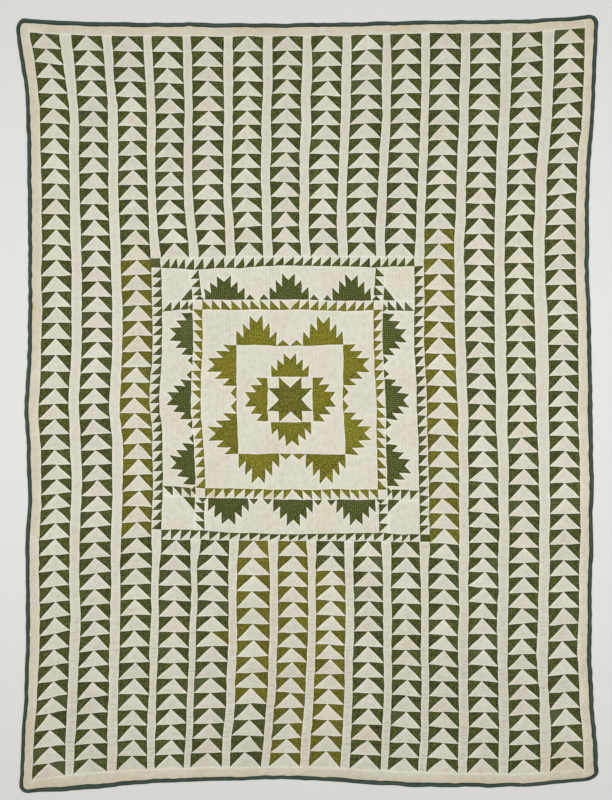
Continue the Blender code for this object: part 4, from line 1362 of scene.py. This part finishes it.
def calico(name, ground, cloud, odd, dot, inked=0.85, speckle=1.4):
    """Roller-printed cotton calico: a matt ground strewn with tiny figures, clouded where the dye has
    lifted, with a shade of its own to each patch, painted shade where it turns down into a seam and
    painted shade in the quilted lines. inked is how strongly the figures are printed, and speckle how
    unevenly the ground took the dye."""
    sizes = bpy.context.scene.quilt_sizes
    material, tree = new_cloth(name, 0.9, 0.03)
    channel, height = quilted(tree)
    place = node(tree, "ShaderNodeTexCoord").outputs["Object"]
    cloth = node(tree, "ShaderNodeUVMap", uv_map="Cloth").outputs[0]
    tint, hue, seam = (node(tree, "ShaderNodeAttribute", attribute_name=kept).outputs["Fac"]
                       for kept in ("tint", "hue", "seam"))
    bloom, grain, broad = (
        node(tree, "ShaderNodeTexNoise", {"Vector": at, "Scale": scale, "Detail": detail}).outputs[0]
        for at, scale, detail in ((cloth, 95.0, 2.0), (cloth, 190.0, 1.0), (place, 16.0, 2.0)))
    amount = node(tree, "ShaderNodeMapRange", {"Value": bloom, "From Min": 0.38, "From Max": 0.66}).outputs[0]
    shade = blend(tree, amount, (*ground, 1), (*cloud, 1))
    turned_by = node(tree, "ShaderNodeMath", {0: hue, 1: 0.4, 2: broad}, operation="MULTIPLY_ADD").outputs[0]
    turned_by = node(tree, "ShaderNodeMapRange", {"Value": turned_by, "From Min": 0.7, "From Max": 1.15,
                     "To Max": 0.9}).outputs[0]
    shade = blend(tree, turned_by, shade, (*odd, 1))
    figures = node(tree, "ShaderNodeTexVoronoi", {"Vector": cloth, "Scale": 1 / sizes.print_spacing,
                   "Randomness": 0.25}, voronoi_dimensions="2D").outputs["Distance"]
    printed = node(tree, "ShaderNodeMapRange", {"Value": figures, "From Min": 0.08, "From Max": 0.3,
                   "To Min": inked, "To Max": 0.0}).outputs[0]
    shade = blend(tree, printed, shade, (*dot, 1))
    # Painted shade beside the seams and in the quilted lines
    light = lighten(tree, 0.895 - speckle / 2, (tint, 0.12), (grain, speckle), (seam, -0.18),
                    (channel, -0.12))
    return finish(material, light, shade, height)


def tape(name, dyed, rubbed_pale):
    """Woven cotton tape: closer and a little shinier than the calico, and paler along the ridge of the
    roll, where it is rubbed and where a highlight is painted."""
    material, tree = new_cloth(name, 0.8, 0.06)
    cloth = node(tree, "ShaderNodeUVMap", uv_map="Cloth").outputs[0]
    worn = node(tree, "ShaderNodeAttribute", attribute_name="worn").outputs["Fac"]
    rubbed = node(tree, "ShaderNodeTexNoise", {"Vector": cloth, "Scale": 60.0, "Detail": 4.0}).outputs[0]
    broad = node(tree, "ShaderNodeTexNoise", {"Vector": cloth, "Scale": 7.0, "Detail": 2.0}).outputs[0]
    # Paler where the top of the roll is worn and a highlight is painted
    amount = node(tree, "ShaderNodeMath", {0: worn, 1: rubbed}, operation="MULTIPLY").outputs[0]
    shade = blend(tree, amount, (*dyed, 1), (*rubbed_pale, 1))
    puckers = node(tree, "ShaderNodeMath", {0: rubbed, 1: 0.6 * MM}, operation="MULTIPLY").outputs[0]
    return finish(material, lighten(tree, 0.7, (broad, 0.6)), shade, puckers)


# How each cloth is made: its kind, its name, the settings that hold its colours, and what sets it
# apart from others of its kind
CLOTHS = {
    GOOSE: (muslin, "White muslin", ("goose",), {}),
    SASH: (muslin, "Sash muslin", ("sash",), {"firmness": 0.35, "wrinkled": 0.5}),
    BORDER: (muslin, "Border muslin", ("border",), {}),
    BACK: (muslin, "Backing muslin", ("back",), {}),
    GREEN: (calico, "Dark green calico", ("green", "green_light", "green_odd", "green_dot"),
            {"inked": 0.5, "speckle": 0.8}),
    OLIVE: (calico, "Olive calico", ("olive", "olive_light", "green_odd", "green_dot"),
            {"inked": 0.5, "speckle": 0.9}),
    RING: (calico, "Mountain calico", ("ring", "ring_light", "green_odd", "green_dot"), {}),
    MIDDLE: (calico, "Yellow olive calico", ("middle", "middle_light", "olive", "green_dot"), {}),
    STAR: (calico, "Star calico", ("star", "olive_light", "ring", "green_dot"), {}),
    TAPE: (tape, "Teal cotton tape", ("tape", "tape_worn"), {}),
}


def cloth_material(cloth):
    """Material of a cloth, which is made once and then shared."""
    make, name, colours, traits = CLOTHS[cloth]
    if name in bpy.data.materials:
        return bpy.data.materials[name]
    chosen = bpy.context.scene.quilt_colours
    return make(name, *(getattr(chosen, colour) for colour in colours), **traits)


class QUILT_OT_stage(bpy.types.Operator):
    """Set the floor, the lights and the camera"""

    bl_idname = "quilt.stage"
    bl_label = "Stage"

    def execute(self, context):
        """A plain pale floor, soft lights and a camera straight above."""
        self.lay_floor(context)
        self.hang_lights(context)
        self.set_camera(context)
        return {"FINISHED"}

    def lay_floor(self, context):
        """A wide plain floor just under the quilt."""
        half = 6.0
        drop = -0.2 * MM
        corners = [(-half, -half, drop), (half, -half, drop), (half, half, drop), (-half, half, drop)]
        mesh = bpy.data.meshes.new("floor")
        mesh.from_pydata(corners, [], [(0, 1, 2, 3)])
        material = bpy.data.materials.new("Pale floor")
        material.use_nodes = True
        shader = material.node_tree.nodes["Principled BSDF"]
        shader.inputs["Base Color"].default_value = (*linear("#e3e2df"), 1)
        shader.inputs["Roughness"].default_value = 0.9
        mesh.materials.append(material)
        floor = bpy.data.objects.new("floor", mesh)
        context.scene.collection.objects.link(floor)

    def hang_lights(self, context):
        """A low sun with a wide disc, a strip of lamps over the quilt, whose light falls off towards the
        quilt's head and foot, and a pale sky."""
        light = bpy.data.lights.new("key", "SUN")
        light.energy = 1.3
        light.angle = math.radians(24)
        key = bpy.data.objects.new("key", light)
        key.rotation_euler = Vector((0.42, -0.56, -1.0)).to_track_quat("-Z", "Y").to_euler()
        strip_light = bpy.data.lights.new("strip", "AREA")
        strip_light.shape = "RECTANGLE"
        strip_light.size = 7.0
        strip_light.size_y = 1.2
        strip_light.energy = 55
        strip = bpy.data.objects.new("strip", strip_light)
        strip.location = (0.3, 0.13, 2.4)
        strip.visible_camera = False
        for lamp in (key, strip):
            context.scene.collection.objects.link(lamp)
        world = bpy.data.worlds.new("studio")
        world.use_nodes = True
        sky = world.node_tree.nodes["Background"]
        sky.inputs["Color"].default_value = (1, 1, 1, 1)
        sky.inputs["Strength"].default_value = 0.25
        context.scene.world = world
        context.scene.view_settings.view_transform = "Standard"

    def set_camera(self, context):
        """A long lens straight above, which takes in 2.656 m of floor from top to bottom."""
        distance = 6.0
        covered = PHOTO_SIZE[1] * PIXEL
        camera = bpy.data.cameras.new("camera")
        camera.sensor_fit = "VERTICAL"
        camera.sensor_height = 24
        camera.lens = camera.sensor_height * distance / covered
        seat = bpy.data.objects.new("camera", camera)
        seat.location = ((PHOTO_SIZE[0] / 2 - PHOTO_MIDDLE[0]) * PIXEL,
                         (PHOTO_MIDDLE[1] - PHOTO_SIZE[1] / 2) * PIXEL, distance)
        context.scene.collection.objects.link(seat)
        context.scene.camera = seat


class QUILT_PT_panel(bpy.types.Panel):
    """Sizes, colours and steps of the quilt"""

    bl_idname = "QUILT_PT_panel"
    bl_label = "Patchwork quilt"
    bl_space_type = "VIEW_3D"
    bl_region_type = "UI"
    bl_category = "Quilt"

    def draw(self, context):
        """List what a user may change, and the operators in their order."""
        for group in (context.scene.quilt_sizes, context.scene.quilt_colours):
            box = self.layout.box()
            for name in group.__annotations__:
                box.prop(group, name)
        for operator in OPERATORS:
            self.layout.operator(operator.bl_idname)


OPERATORS = (
    QUILT_OT_bars, QUILT_OT_sashes, QUILT_OT_sawtooth, QUILT_OT_mountains, QUILT_OT_middle,
    QUILT_OT_borders, QUILT_OT_binding, QUILT_OT_stage,
)
CLASSES = (QuiltSizes, QuiltColours, *OPERATORS, QUILT_PT_panel)


def register():
    """Register the classes and hang the settings on the scene."""
    for cls in CLASSES:
        bpy.utils.register_class(cls)
    bpy.types.Scene.quilt_sizes = PointerProperty(type=QuiltSizes)
    bpy.types.Scene.quilt_colours = PointerProperty(type=QuiltColours)


def unregister():
    """Take the settings and the classes away again."""
    del bpy.types.Scene.quilt_colours
    del bpy.types.Scene.quilt_sizes
    for cls in reversed(CLASSES):
        bpy.utils.unregister_class(cls)


def main():
    """Register the classes and the settings, and run the operators in order."""
    register()
    bpy.ops.quilt.bars()
    bpy.ops.quilt.sashes()
    bpy.ops.quilt.sawtooth()
    bpy.ops.quilt.mountains()
    bpy.ops.quilt.middle()
    bpy.ops.quilt.borders()
    bpy.ops.quilt.binding()
    bpy.ops.quilt.stage()


if __name__ == "__main__":
    main()
